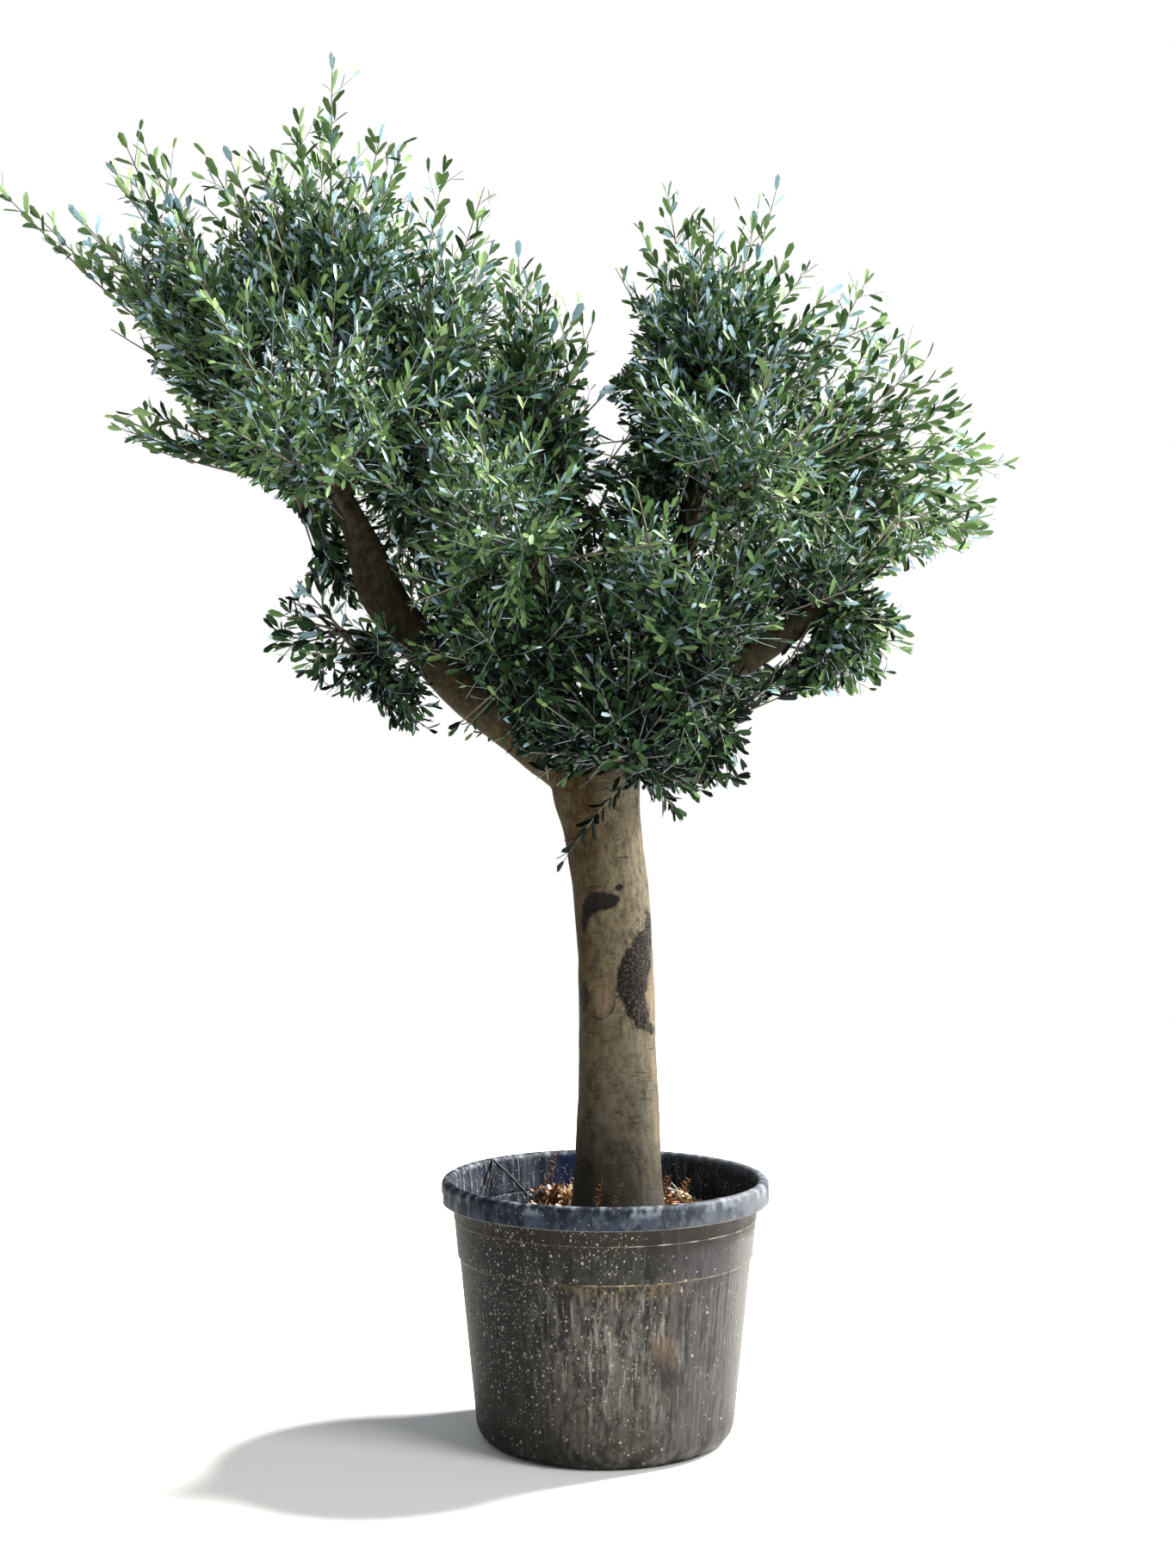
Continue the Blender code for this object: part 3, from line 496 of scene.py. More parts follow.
BARK_COLOUR = (0.2, 0.17, 0.12)
bark_material, tree, shader = new_material("olive_bark", BARK_COLOUR, 0.8, Specular_IOR_Level=0.14)
place = place_of(tree)


def field(name):
    """A field held on the mesh's points."""
    return add_node(tree, "Attribute", attribute_name=name).outputs["Fac"]


parted = add_node(tree, "SeparateXYZ", {0: place})
east, height = parted.outputs["X"], parted.outputs["Z"]
grain = noise_of(tree, place, 75.0, 6.0, (1.0, 1.0, 0.55), 0.72)
fibre = noise_of(tree, place, 60.0, 3.0, (1.0, 1.0, 0.14))
mottle = noise_of(tree, place, 11.0, 6.0, (1.0, 1.0, 0.6), 0.62)
spots = noise_of(tree, place, 34.0, 4.0, (1.0, 1.0, 0.7), 0.62)
cross = noise_of(tree, place, 22.0, 3.0, (1.0, 1.0, 9.0))
fine = noise_of(tree, place, 260.0, 3.0)
net_cells = add_node(tree, "TexVoronoi", {"Vector": place, "Scale": 170.0}, feature="DISTANCE_TO_EDGE")
net = net_cells.outputs["Distance"]

# the grain's dark and light in each kind of skin
TAN_SKIN = (0.032, 0.024, 0.01), (0.096, 0.077, 0.04)
GREY_SKIN = (0.044, 0.037, 0.023), (0.128, 0.11, 0.077)
DUSTY_SKIN = (0.084, 0.078, 0.064), (0.038, 0.034, 0.027)
OCHRE_AND_SHADE_SKIN = (0.02, 0.013, 0.004), (0.058, 0.037, 0.011)
SHADED_BOUGH_SKIN = (0.006, 0.005, 0.002), (0.036, 0.029, 0.013)
OLD_WOOD = (0.001, 0.001, 0.001), (0.014, 0.011, 0.01)
SCALES = (0.001, 0.001, 0.001), (0.036, 0.03, 0.024)

grained = ramp(tree, grain, 0.36, 0.64)
scratches = times(tree, ramp(tree, cross, 0.63, 0.68), ramp(tree, mottle, 0.4, 0.54))
skin_colour = painted(
    tree, mixed(tree, grained, *TAN_SKIN),
    # tan turns to grey from the left to the right, and painted shade darkens the right edge
    (ramp(tree, east, -0.05, 0.08), mixed(tree, grained, *GREY_SKIN)),
    (ramp(tree, east, 0.07, 0.12, 0.0, 0.5), (0.05, 0.043, 0.03)),
    # dark fibres, dark and pale blotches, spots and a pale net
    (ramp(tree, fibre, 0.52, 0.74, 0.0, 0.45), (0.036, 0.028, 0.014)),
    (ramp(tree, mottle, 0.5, 0.66, 0.0, 0.7), (0.034, 0.027, 0.014)),
    (ramp(tree, mottle, 0.44, 0.34, 0.0, 0.35), (0.128, 0.11, 0.076)),
    (ramp(tree, spots, 0.58, 0.7, 0.0, 0.65), (0.021, 0.016, 0.008)),
    (ramp(tree, net, 0.14, 0.02, 0.0, 0.4), (0.124, 0.107, 0.076)),
    # dark and pale scratches across the grain
    (times(tree, scratches, 0.7), (0.012, 0.008, 0.005)),
    (ramp(tree, cross, 0.36, 0.31, 0.0, 0.45), (0.15, 0.132, 0.096)),
    # the lower third is greyer and dusty, with painted shade darkening it towards the soil, down in the pot
    (ramp(tree, height, 1.02, 0.8, 0.0, 0.45), mixed(tree, ramp(tree, spots, 0.38, 0.62), *DUSTY_SKIN)),
    (ramp(tree, height, 0.8, 0.54, 0.0, 0.72), (0.026, 0.024, 0.021)),
)
ochre_and_shade_share = times(tree, field("ochre_and_shade"), ramp(tree, mottle, 0.3, 0.62, 0.45, 1.0))
rust_share = times(tree, field("ochre_and_shade"), ramp(tree, spots, 0.5, 0.62, 0.0, 0.75))
pink_share = times(tree, field("pink"), ramp(tree, fibre, 0.36, 0.6, 0.3, 0.95))
ragged = ramp(tree, spots, 0.3, 0.7, -0.3, 0.3)
healed_edge = plus(tree, field("healed_edge"), times(tree, ragged, 0.8))
rough_patch = plus(tree, field("rough"), times(tree, ragged, 1.6))
skin_colour = painted(
    tree, skin_colour,
    # ochre and rust on the left, up to the fork, with painted shade there, and painted shade from the crown
    # darkening the boughs above it
    (ochre_and_shade_share, mixed(tree, grained, *OCHRE_AND_SHADE_SKIN)),
    (rust_share, (0.03, 0.013, 0.004)),
    (ramp(tree, height, 1.6, 1.84, 0.0, 0.75), mixed(tree, grained, *SHADED_BOUGH_SKIN)),
    # pink young bark in the healed oval and down the right edge
    (pink_share, (0.15, 0.104, 0.068)),
    (ramp(tree, healed_edge, 0.35, 0.75, 0.0, 0.8), (0.016, 0.011, 0.008)),
    (ramp(tree, rough_patch, 0.45, 0.85, 0.0, 0.85), (0.012, 0.01, 0.008)),
)
# the scaly plate: small uneven cells with black cracks, ringed at its edge
PLATE_FINENESS, PLATE_WOBBLE = 88.0, (0.012, 0.012, 0.012)
wobble = add_node(tree, "TexNoise", {"Vector": place, "Scale": 70.0, "Detail": 2.0}).outputs[1]
bent = add_node(
    tree, "VectorMath", {0: wobble, 1: PLATE_WOBBLE, 2: place}, operation="MULTIPLY_ADD"
).outputs[0]
cell_inputs = {"Vector": bent, "Scale": PLATE_FINENESS}
cells = add_node(tree, "TexVoronoi", cell_inputs, feature="DISTANCE_TO_EDGE").outputs["Distance"]
heart = add_node(tree, "TexVoronoi", cell_inputs).outputs["Distance"]
scale_colour = painted(
    tree, mixed(tree, ramp(tree, cells, 0.03, 0.2), *SCALES),
    (ramp(tree, heart, 0.1, 0.26, 0.5, 0.0), (0.011, 0.009, 0.007)),
    (ramp(tree, spots, 0.42, 0.6, 0.0, 0.75), (0.008, 0.006, 0.005)),
)
plate_edge = plus(tree, field("plate"), ragged)
plate_share = ramp(tree, plate_edge, 0.42, 0.66)
rings = times(tree, ramp(tree, cells, 0.1, 0.03), window(tree, plate_edge, 0.1, 0.42, 0.5, 0.7))
wound_edge = plus(tree, field("wound"), times(tree, ragged, 0.45))
skin_colour = painted(
    tree, skin_colour,
    (plate_share, scale_colour),
    (times(tree, rings, 0.8), (0.01, 0.008, 0.006)),
    # the old wound is near black
    (ramp(tree, wound_edge, 0.26, 0.78, 0.0, 0.97), mixed(tree, ramp(tree, fine, 0.4, 0.72), *OLD_WOOD)),
)
ridges = times(tree, ramp(tree, cells, 0.0, 0.2), plate_share)
surface = plus(tree, grain, times(tree, fine, 0.25), times(tree, ridges, 1.2), times(tree, spots, 0.6))
surface = sums(tree, "SUBTRACT", surface, times(tree, scratches, 0.6))
feed(tree, shader, {
    "Base Color": skin_colour,
    "Roughness": ramp(tree, grain, 0.3, 0.7, 0.74, 0.94),
    "Normal": raised(tree, surface, 0.0026, 0.9),
})
bark.data.materials.clear()
bark.data.materials.append(bark_material)
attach(bark, "root")
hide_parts(*limbs)


# ------------------------------------------------------------------------------------------------
# Shoots. Straight whippy olive shoots, green while young and grey and woody later. They grow from
# the end of every bough and spur by one seeded rule: a stem, leaders fanned round it, side shoots
# on the leaders, and twiglets on the longest side shoots.

def unit(vectors):
    return vectors / np.linalg.norm(vectors, axis=-1, keepdims=True)


def across(directions):
    """Two directions at right angles to each direction and to each other."""
    steady = np.where(np.abs(directions[:, 2:3]) < 0.9, [[0.0, 0.0, 1.0]], [[1.0, 0.0, 0.0]])
    first = unit(np.cross(directions, steady))
    return first, np.cross(directions, first)


def leaned(directions, angle, turn):
    """Each direction leaned away from itself by an angle, towards a turn about it."""
    first, second = across(directions)
    outward = first * np.cos(turn)[:, None] + second * np.sin(turn)[:, None]
    return directions * np.cos(angle)[:, None] + outward * np.sin(angle)[:, None]


def line_distances(points, starts, ends):
    """Distances from each point to each straight piece."""
    along = ends - starts
    share = np.einsum("psk,sk->ps", points[:, None] - starts, along) / (along * along).sum(axis=1)
    nearest = starts + along * np.clip(share, 0.0, 1.0)[..., None]
    return np.linalg.norm(points[:, None] - nearest, axis=2)


GOLDEN_ANGLE = math.radians(137.508)
STEM_SHARE, SPINE_SHARE = 0.28, 0.8
rng = np.random.default_rng(41)
mass_names = list(MASSES)
spine_starts, spine_ends, mass_reach = [], [], []
for name in mass_names:
    tip, axis, radius = path_point(limbs[stands[name]], 1.0)
    reach = MASSES[name][3]
    spine_starts.append(tip)
    spine_ends.append(tip + axis * reach * SPINE_SHARE)
    mass_reach.append(reach)
spine_starts, spine_ends, mass_reach = np.array(spine_starts), np.array(spine_ends), np.array(mass_reach)
limb_starts = np.concatenate([path[:-1, :3] for path in limbs.values()])
limb_ends = np.concatenate([path[1:, :3] for path in limbs.values()])
limb_radii = np.concatenate([np.maximum(path[:-1, 3], path[1:, 3]) for path in limbs.values()])


class Shoots:
    """Many shoots at once: each a start, an aim, a length, a bend, two radii, its mass and its tone."""

    def __init__(self, **columns):
        self.columns = columns
        for key, column in columns.items():
            setattr(self, key, column)

    def pick(self, rows):
        return Shoots(**{key: column[rows] for key, column in self.columns.items()})

    def point(self, share):
        run = (self.length * share)[:, None]
        return self.start + self.aim * run + self.bend * run * run

    def tangent(self, share):
        return unit(self.aim + 2 * self.bend * (self.length * share)[:, None])


def new_shoots(start, aim, bend, length, radii, mass, tone=None):
    """Shoots with radii at root and tip, each with its own turn and, where none is given, its own tone."""
    count = len(start)
    if tone is None:
        tone = rng.random(count)
    return Shoots(
        start=start, aim=aim, bend=bend, length=length, root_radius=np.full(count, radii[0]),
        tip_radius=np.full(count, radii[1]), mass=np.full(count, mass), tone=tone,
        turn=rng.uniform(0.0, math.tau, count),
    )


def rising(lifts):
    """Bends that lift shoots straight up."""
    bend = np.zeros((len(lifts), 3))
    bend[:, 2] = lifts
    return bend


def aimed(start, end, bend, run):
    """The aims with which bent shoots get from start to end in a run."""
    return (end - start - bend * (run * run)[:, None]) / run[:, None]


def joined(groups):
    return Shoots(**{key: np.concatenate([g.columns[key] for g in groups]) for key in groups[0].columns})


BATCH = 20000


def room(points):
    """Distance from each point to the nearest limb's bark."""
    clear = np.empty(len(points))
    for k in range(0, len(points), BATCH):
        part = points[k:k + BATCH]
        clear[k:k + BATCH] = (line_distances(part, limb_starts, limb_ends) - limb_radii).min(axis=1)
    return clear


CROWN_EDGE = np.array([
    # height, left edge, right edge of the left half, left edge of the right half, right edge
    (1.56, -0.09, 0.05, 0.05, 0.3), (1.6, -0.15, 0.05, 0.05, 0.32), (1.64, -0.19, 0.05, 0.05, 0.32),
    (1.69, -0.24, 0.05, 0.05, 0.33), (1.715, -0.5, 0.05, 0.05, 0.335), (1.785, -0.52, 0.05, 0.05, 0.335),
    (1.795, -0.62, 0.05, 0.05, 0.345), (1.81, -0.68, 0.05, 0.05, 0.62), (1.84, -0.74, 0.05, 0.05, 0.66),
    (1.92, -0.82, 0.05, 0.05, 0.74), (2.02, -0.81, 0.05, 0.05, 0.72), (2.09, -0.73, 0.05, 0.05, 0.66),
    (2.14, -0.69, 0.05, 0.05, 0.82), (2.2, -0.68, 0.05, 0.05, 0.95), (2.28, -0.76, 0.05, 0.05, 0.96),
    (2.38, -0.95, 0.03, 0.03, 1.01), (2.42, -1.19, -0.02, 0.07, 0.94), (2.5, -1.2, -0.03, 0.03, 0.9),
    (2.57, -1.08, -0.03, 0.0, 0.88), (2.65, -1.1, -0.03, 0.07, 0.8), (2.78, -1.2, -0.04, 0.05, 0.71),
    (2.88, -1.3, -0.14, 0.04, 0.64), (2.94, -1.4, -0.22, 0.06, 0.5), (3.04, -1.52, -0.27, 0.12, 0.46),
    (3.1, -1.52, -0.34, 0.14, 0.45), (3.14, -1.24, -0.38, 0.15, 0.44), (3.24, -1.1, -0.55, 0.4, 0.41),
    (3.38, -0.74, -0.6, 0.4, 0.41),
])
CROWN_TOP, CROWN_FOOT = 3.39, 1.575
# how far in front of the trunk's middle a shoot has to be to hide a bough
BARE_DEPTH = 0.03
BARE = (
    # stretches of bough that show: seen from the front, one end, the other end, half width
    (-0.27, 1.75, -0.37, 1.85, 0.042), (-0.49, 1.99, -0.64, 2.28, 0.036), (0.36, 1.9, 0.5, 1.98, 0.034),
    (0.2, 2.26, 0.21, 2.32, 0.03), (-0.05, 1.47, -0.02, 1.57, 0.075),
)


def in_outline(points, margin=0.0):
    """True for points inside the crown's edge and out of its notch, by a margin."""
    x, z = seen(points)
    heights, *edges = CROWN_EDGE.T
    left, inner_left, inner_right, right = [np.interp(z, heights, edge) for edge in edges]
    notch = np.where(inner_right - inner_left > 0.004, margin / 2, 0.0)
    inside = (x > left + margin) & (x < right - margin) & (
        (x < inner_left - notch) | (x > inner_right + notch)
    )
    return inside & (z < CROWN_TOP - margin) & (z > CROWN_FOOT)


def upward(points):
    """The way the crown's upper edge lies from each point: up, and outward on either side."""
    out = np.clip((points[:, 0] + 0.2) * 0.8, -0.55, 0.65)
    return np.stack([out, np.zeros(len(out)), np.sqrt(1.0 - out * out)], axis=1)


def top_depth(points):
    """How deep each point is under the crown's upper edge: 0 at the edge, 1 from half a metre in."""
    depth = np.zeros(len(points))
    for run in (0.1, 0.2, 0.3, 0.4, 0.5):
        depth += in_outline(points + run * upward(points)) * 0.2
    return depth


def hides_bough(points):
    """True for points in front of a bare stretch of bough."""
    x, z = seen(points)
    hidden = np.zeros(len(x), bool)
    for x0, z0, x1, z1, half in BARE:
        run = np.array([x1 - x0, z1 - z0])
        share = np.clip(((x - x0) * run[0] + (z - z0) * run[1]) / (run @ run), 0.0, 1.0)
        away = np.hypot(x - x0 - run[0] * share, z - z0 - run[1] * share)
        hidden |= (away < half) & (points[:, 1] < BARE_DEPTH)
    return hidden


RIM = 0.24
BARK_CLEARANCE = 0.004


def allowed(points, masses):
    """True within the mass's reach and the crown's outline, under the whips' rim and off every limb."""
    span = np.linalg.norm(points - spine_starts[masses], axis=1)
    under_rim = in_outline(points, 0.035) & in_outline(points + RIM * upward(points))
    return (span < mass_reach[masses] * 1.2) & under_rim & (room(points) > BARK_CLEARANCE)


def cut_to_fit(shoots, least, cuts, shares, fits):
    """Shoots cut shorter until they fit at each share of their length, without the shortest."""
    length = shoots.length.copy()
    open_rows = np.arange(len(length))
    for cut in cuts:
        part = shoots.pick(open_rows)
        good = np.ones(len(open_rows), bool)
        for share in shares:
            good &= fits(part.point(np.full(len(open_rows), cut * share)), part.mass)
        length[open_rows[good]] *= cut
        open_rows = open_rows[~good]
    length[open_rows] = 0.0
    shoots.length[:] = length
    return shoots.pick(length > least)


def shortened(shoots, least):
    cuts = (1.0, 0.94, 0.88, 0.82, 0.74, 0.64, 0.52, 0.4, 0.3)
    return cut_to_fit(shoots, least, cuts, (0.35, 0.7, 1.0), allowed)


TWIG_TIP_RADIUS = 0.0008


def grown_from(parents, rows, shares, lean, turn, lengths, radius, lift):
    """New shoots that leave the parents' given rows at shares of their length."""
    carrier = parents.pick(rows)
    aim = leaned(carrier.tangent(shares), lean, turn)
    return new_shoots(
        carrier.point(shares), aim, rising(lift), lengths, (radius, TWIG_TIP_RADIUS), carrier.mass,
    )


LEADER_RULE = {
    # leaders for each leader of the rule, and how far they run of the mass's reach
    "left_top": (1.2, 0.82), "left_outer": (1.25, 0.8), "left_inner": (1.2, 0.8), "left_side": (1.4, 0.95),
    "left_skirt": (0.7, 1.0), "centre_top": (1.3, 0.86), "centre_low": (2.6, 1.0), "right_top": (1.2, 0.82),
    "right_outer": (1.2, 0.8), "right_side": (2.2, 1.0), "right_skirt": (2.2, 1.0),
    "fork_shoots": (2.6, 1.0),
    "rear_top": (1.3, 0.8), "left_back": (1.2, 0.9), "right_back": (1.2, 0.9),
}
WHIPS = {
    # ends of the longest shoots, as they stand seen from the front, and their depth
    "left_outer": (
        (-1.51, 3.078, -0.1), (-1.292, 2.986, -0.16), (-1.208, 3.106, -0.02), (-1.195, 3.207, -0.1),
        (-1.14, 3.186, 0.04), (-1.3, 2.9, 0.05), (-1.05, 3.02, -0.2), (-1.16, 2.8, -0.05),
        (-1.4, 2.995, 0.05), (-1.085, 3.115, 0.1), (-1.23, 2.72, 0.12),
    ),
    "left_top": (
        (-0.992, 3.157, -0.08), (-0.857, 3.152, 0.06), (-0.752, 3.19, -0.05), (-0.669, 3.366, -0.04),
        (-0.547, 3.195, -0.1), (-0.5, 3.16, 0.08), (-0.92, 3.05, 0.12), (-0.62, 3.1, -0.15),
        (-0.845, 3.12, -0.12), (-0.925, 3.14, 0.02), (-0.7, 3.2, 0.15),
    ),
    "left_inner": (
        (-0.393, 3.117, -0.06), (-0.289, 3.081, 0.0), (-0.274, 2.914, -0.1), (-0.4, 2.98, 0.1),
        (-0.34, 2.86, -0.18), (-0.5, 2.28, -0.02), (-0.46, 2.2, 0.06), (-0.52, 2.36, 0.04),
        (-0.44, 2.16, 0.0), (-0.48, 2.2, 0.04), (-0.42, 2.24, -0.04), (-0.45, 2.11, 0.08),
    ),
    "left_side": (
        (-1.205, 2.47, 0.0), (-1.17, 2.53, -0.08), (-1.12, 2.66, 0.1), (-1.09, 2.42, 0.08),
        (-1.02, 2.4, -0.05), (-1.14, 2.45, 0.15), (-0.705, 2.19, -0.02), (-0.74, 2.27, 0.02),
        (-0.69, 2.12, 0.08), (-0.8, 2.3, 0.12), (-1.21, 2.5, 0.06), (-1.16, 2.43, -0.02), (-1.08, 2.44, 0.02),
        (-0.72, 2.22, 0.14), (-0.76, 2.33, -0.08), (-0.7, 2.15, 0.0), (-0.66, 2.12, 0.1), (-0.63, 2.07, 0.06),
        (-0.64, 2.19, 0.14), (-0.66, 2.06, 0.02), (-0.68, 2.1, 0.12), (-0.62, 2.04, 0.0),
        (-0.67, 2.16, -0.05), (-0.64, 2.11, 0.16), (-0.7, 2.12, -0.02), (-0.65, 2.08, 0.08),
    ),
    "left_skirt": (
        (-0.808, 2.012, -0.22), (-0.798, 1.928, -0.16), (-0.65, 1.827, -0.24), (-0.513, 1.742, -0.2),
        (-0.428, 1.715, -0.16), (-0.74, 1.88, -0.3), (-0.58, 1.8, -0.12), (-0.82, 1.96, -0.1),
        (-0.5, 1.79, -0.22), (-0.47, 1.735, -0.12), (-0.44, 1.77, -0.2), (-0.55, 1.77, -0.16),
        (-0.48, 1.83, -0.14), (-0.8, 2.06, -0.16), (-0.7, 1.85, -0.2), (-0.46, 1.76, -0.26),
        (-0.76, 2.1, -0.24),
    ),
    "centre_top": (
        (-0.213, 2.908, -0.03), (-0.057, 2.787, -0.08), (-0.023, 2.739, 0.05), (-0.15, 2.8, 0.1),
        (-0.05, 2.5, -0.1), (-0.05, 2.62, -0.14), (-0.04, 2.46, 0.0), (-0.23, 2.86, 0.08),
        (-0.19, 2.84, -0.1), (-0.25, 2.8, 0.1), (-0.12, 2.76, 0.0), (-0.17, 2.72, -0.08), (0.0, 2.36, -0.05),
        (0.03, 2.33, 0.02), (-0.02, 2.39, 0.05), (0.01, 2.34, 0.1),
    ),
    "right_top": (
        (0.013, 2.882, 0.1), (0.082, 2.965, 0.16), (0.152, 3.055, 0.12), (0.268, 3.009, 0.2),
        (0.38, 3.026, 0.1), (0.426, 3.072, 0.18), (0.2, 2.95, 0.05), (0.33, 2.93, 0.25), (0.5, 2.86, 0.1),
        (0.56, 2.81, 0.0), (0.45, 2.9, 0.2), (0.52, 2.75, -0.1), (0.4, 2.84, 0.0), (0.58, 2.78, 0.18),
        (0.08, 2.62, 0.05), (0.1, 2.72, 0.12), (0.1, 2.56, 0.0), (0.09, 2.66, 0.2), (0.02, 2.58, 0.14),
        (0.1, 2.48, 0.16), (0.13, 2.6, -0.06), (0.12, 2.4, 0.12), (0.05, 2.36, -0.04), (0.14, 2.36, 0.06),
        (0.08, 2.3, 0.0), (0.16, 2.44, 0.18), (0.12, 2.28, 0.14), (0.04, 2.4, 0.1), (0.06, 2.34, 0.12),
        (0.01, 2.57, 0.04),
    ),
    "right_outer": (
        (0.648, 2.84, 0.1), (0.701, 2.772, 0.18), (0.806, 2.65, 0.05), (0.838, 2.6, 0.12),
        (0.891, 2.513, 0.0), (0.998, 2.376, 0.05), (0.965, 2.224, 0.12), (0.93, 2.42, 0.2), (0.9, 2.3, -0.06),
        (0.72, 2.7, 0.0), (0.965, 2.19, 0.02), (0.9, 2.15, 0.1), (0.86, 2.2, -0.02), (0.885, 2.43, 0.06),
        (0.86, 2.53, 0.14), (0.8, 2.13, 0.04), (0.94, 2.28, 0.16), (0.82, 2.36, 0.08), (0.74, 2.12, 0.06),
        (0.7, 2.11, 0.12), (0.84, 2.155, 0.0), (0.78, 2.14, -0.06), (0.88, 2.18, 0.14), (0.93, 2.2, 0.06),
        (0.72, 2.16, -0.04),
    ),
    "right_side": (
        (0.737, 1.964, -0.12), (0.711, 1.88, -0.08), (0.627, 1.81, -0.12), (0.66, 1.9, -0.2),
        (0.56, 1.81, -0.06), (0.6, 1.8, 0.0), (0.48, 1.8, -0.04), (0.52, 1.805, -0.14), (0.44, 1.8, -0.12),
        (0.7, 2.02, -0.16), (0.74, 1.92, -0.02), (0.68, 1.84, 0.02), (0.6, 1.84, -0.22), (0.66, 1.96, -0.26),
        (0.54, 1.86, -0.28), (0.58, 1.9, 0.0), (0.72, 1.98, -0.06), (0.45, 1.83, -0.1), (0.5, 1.83, -0.18),
        (0.42, 1.84, -0.22), (0.55, 1.83, 0.04), (0.62, 1.87, -0.16), (0.52, 1.92, -0.1), (0.56, 1.96, -0.2),
        (0.68, 2.0, 0.02), (0.47, 1.88, -0.02), (0.42, 2.06, 0.06), (0.46, 2.12, 0.1), (0.38, 2.1, 0.12),
        (0.5, 2.06, 0.04), (0.44, 2.0, 0.1), (0.4, 2.16, 0.02),
    ),
    "right_skirt": (
        (0.335, 1.7, -0.22), (0.31, 1.6, -0.18), (0.26, 1.59, -0.14), (0.22, 1.58, -0.22),
        (0.48, 1.83, -0.16), (0.4, 1.83, -0.2), (0.44, 1.86, -0.26), (0.33, 1.76, -0.14), (0.27, 1.7, -0.26),
        (0.27, 1.64, -0.1), (0.22, 1.64, -0.18), (0.3, 1.72, -0.04), (0.22, 1.68, -0.28), (0.31, 1.78, -0.26),
        (0.4, 1.84, -0.08),
    ),
    "fork_shoots": (
        (0.184, 1.521, -0.2), (0.26, 1.62, -0.24), (-0.1, 1.72, -0.3), (-0.12, 1.67, -0.2),
        (-0.05, 1.64, -0.24), (0.06, 1.62, -0.26), (0.12, 1.61, -0.3), (0.18, 1.72, -0.3), (0.0, 1.76, -0.34),
        (-0.16, 1.74, -0.26), (0.08, 1.8, -0.36), (-0.15, 1.64, -0.12), (-0.18, 1.67, -0.18),
        (-0.22, 1.72, -0.16), (-0.12, 1.63, -0.2), (-0.18, 1.7, -0.24), (-0.22, 1.75, -0.26),
        (0.14, 1.59, -0.16), (0.22, 1.62, -0.1), (0.2, 1.7, -0.22),
    ),
    "centre_low": (
        (-0.28, 1.78, -0.3), (-0.24, 1.86, -0.38), (-0.34, 1.92, -0.32), (-0.2, 1.72, -0.32),
        (-0.3, 2.02, -0.36), (-0.14, 1.8, -0.4), (-0.4, 1.98, -0.26), (-0.44, 2.06, -0.18),
        (-0.46, 2.14, -0.1),
    ),
}


def from_front(x, z, depth):
    """The place at a depth that is seen from the front at x, z."""
    eye = np.array(CAMERA_PLACE)
    scale = (depth - eye[1]) / (0.0 - eye[1])
    return np.array([eye[0] + (x - eye[0]) * scale, depth, eye[2] + (z - eye[2]) * scale])


OPEN_TOPS = ("left_outer", "left_top", "left_inner", "centre_top", "right_top", "right_outer")
USUAL_RULE = (1.3, 0.95)
LEADER_RADII, WHIP_RADII = (0.0045, 0.0013), (0.005, 0.0015)
stems, leader_groups = [], []
for index, name in enumerate(mass_names):
    carrier, share, axis, reach, spread, leaders = MASSES[name]
    tip, axis, radius = path_point(limbs[stands[name]], 1.0)
    axis = np.array(axis)
    stem_run = reach * STEM_SHARE
    more, run_share = LEADER_RULE.get(name, USUAL_RULE)
    count = round(leaders * more)
    rank = np.sqrt(np.arange(count) / (count - 1))
    polar = np.radians(spread) * rank
    turn = np.arange(count) * GOLDEN_ANGLE + index
    aim = leaned(np.repeat(axis[None], count, axis=0), polar, turn)
    rise = stem_run * (0.97 - 0.62 * rank)
    start = np.array(tip) + axis * rise[:, None]
    length = reach * run_share * (1.08 - 0.12 * rank ** 2 - rng.uniform(0.0, 0.38, count)) - rise
    bend = rising(rng.uniform(-0.02, 0.16, count))
    leader_groups.append(new_shoots(start, aim, bend, length, LEADER_RADII, index))
    stems.append((np.array(tip), axis, stem_run, radius))
leaders = shortened(joined(leader_groups), 0.1)

# the last leaf of a whip reaches on past its tip by this much
WHIP_END_LEAF = 0.025
whip_groups = []
for name, ends in WHIPS.items():
    index = mass_names.index(name)
    tip, axis, stem_run, radius = stems[index]
    ends = np.array([from_front(*end) for end in ends])
    if name in OPEN_TOPS:
        # a second, shorter shoot beside each
        second = ends + rng.uniform((-0.1, -0.16, -0.22), (0.1, 0.2, -0.07), (len(ends), 3))
        ends = np.concatenate([ends, second[in_outline(second, 0.02) & (room(second) > 0.05)]])
    count = len(ends)
    start = tip + axis * (stem_run * rng.uniform(0.35, 0.95, count))[:, None]
    run = np.linalg.norm(ends - start, axis=1)
    bend = rising(rng.uniform(0.05, 0.2, count))
    aim = aimed(start, ends, bend, run)
    whip_groups.append(new_shoots(start, aim, bend, run - WHIP_END_LEAF, WHIP_RADII, index))
whips = joined(whip_groups)

# Short stalks near the ends of the whips, each with a few leaves.
STALK_SHARES = np.repeat([0.52, 0.63, 0.74, 0.84, 0.93], 2)
STALK_RADIUS, STALK_TURN, STALKS_KEPT = 0.0013, 2.6, 0.5
whip_count, stalk_count = len(whips.length), len(STALK_SHARES)
rows = np.repeat(np.arange(whip_count), stalk_count)
shares = np.tile(STALK_SHARES, whip_count) + rng.uniform(-0.05, 0.05, len(rows))
lean = np.radians(rng.uniform(30.0, 54.0, len(rows)))
turn = whips.turn[rows] + np.tile(np.arange(stalk_count), whip_count) * STALK_TURN
lengths = rng.uniform(0.035, 0.11, len(rows)) * (1.3 - 0.6 * shares)
lift = rng.uniform(0.0, 1.2, len(rows))
stalks = grown_from(whips, rows, shares, lean, turn, lengths, STALK_RADIUS, lift)
ends = stalks.point(np.ones(len(rows)))
kept = rng.random(len(rows)) < STALKS_KEPT
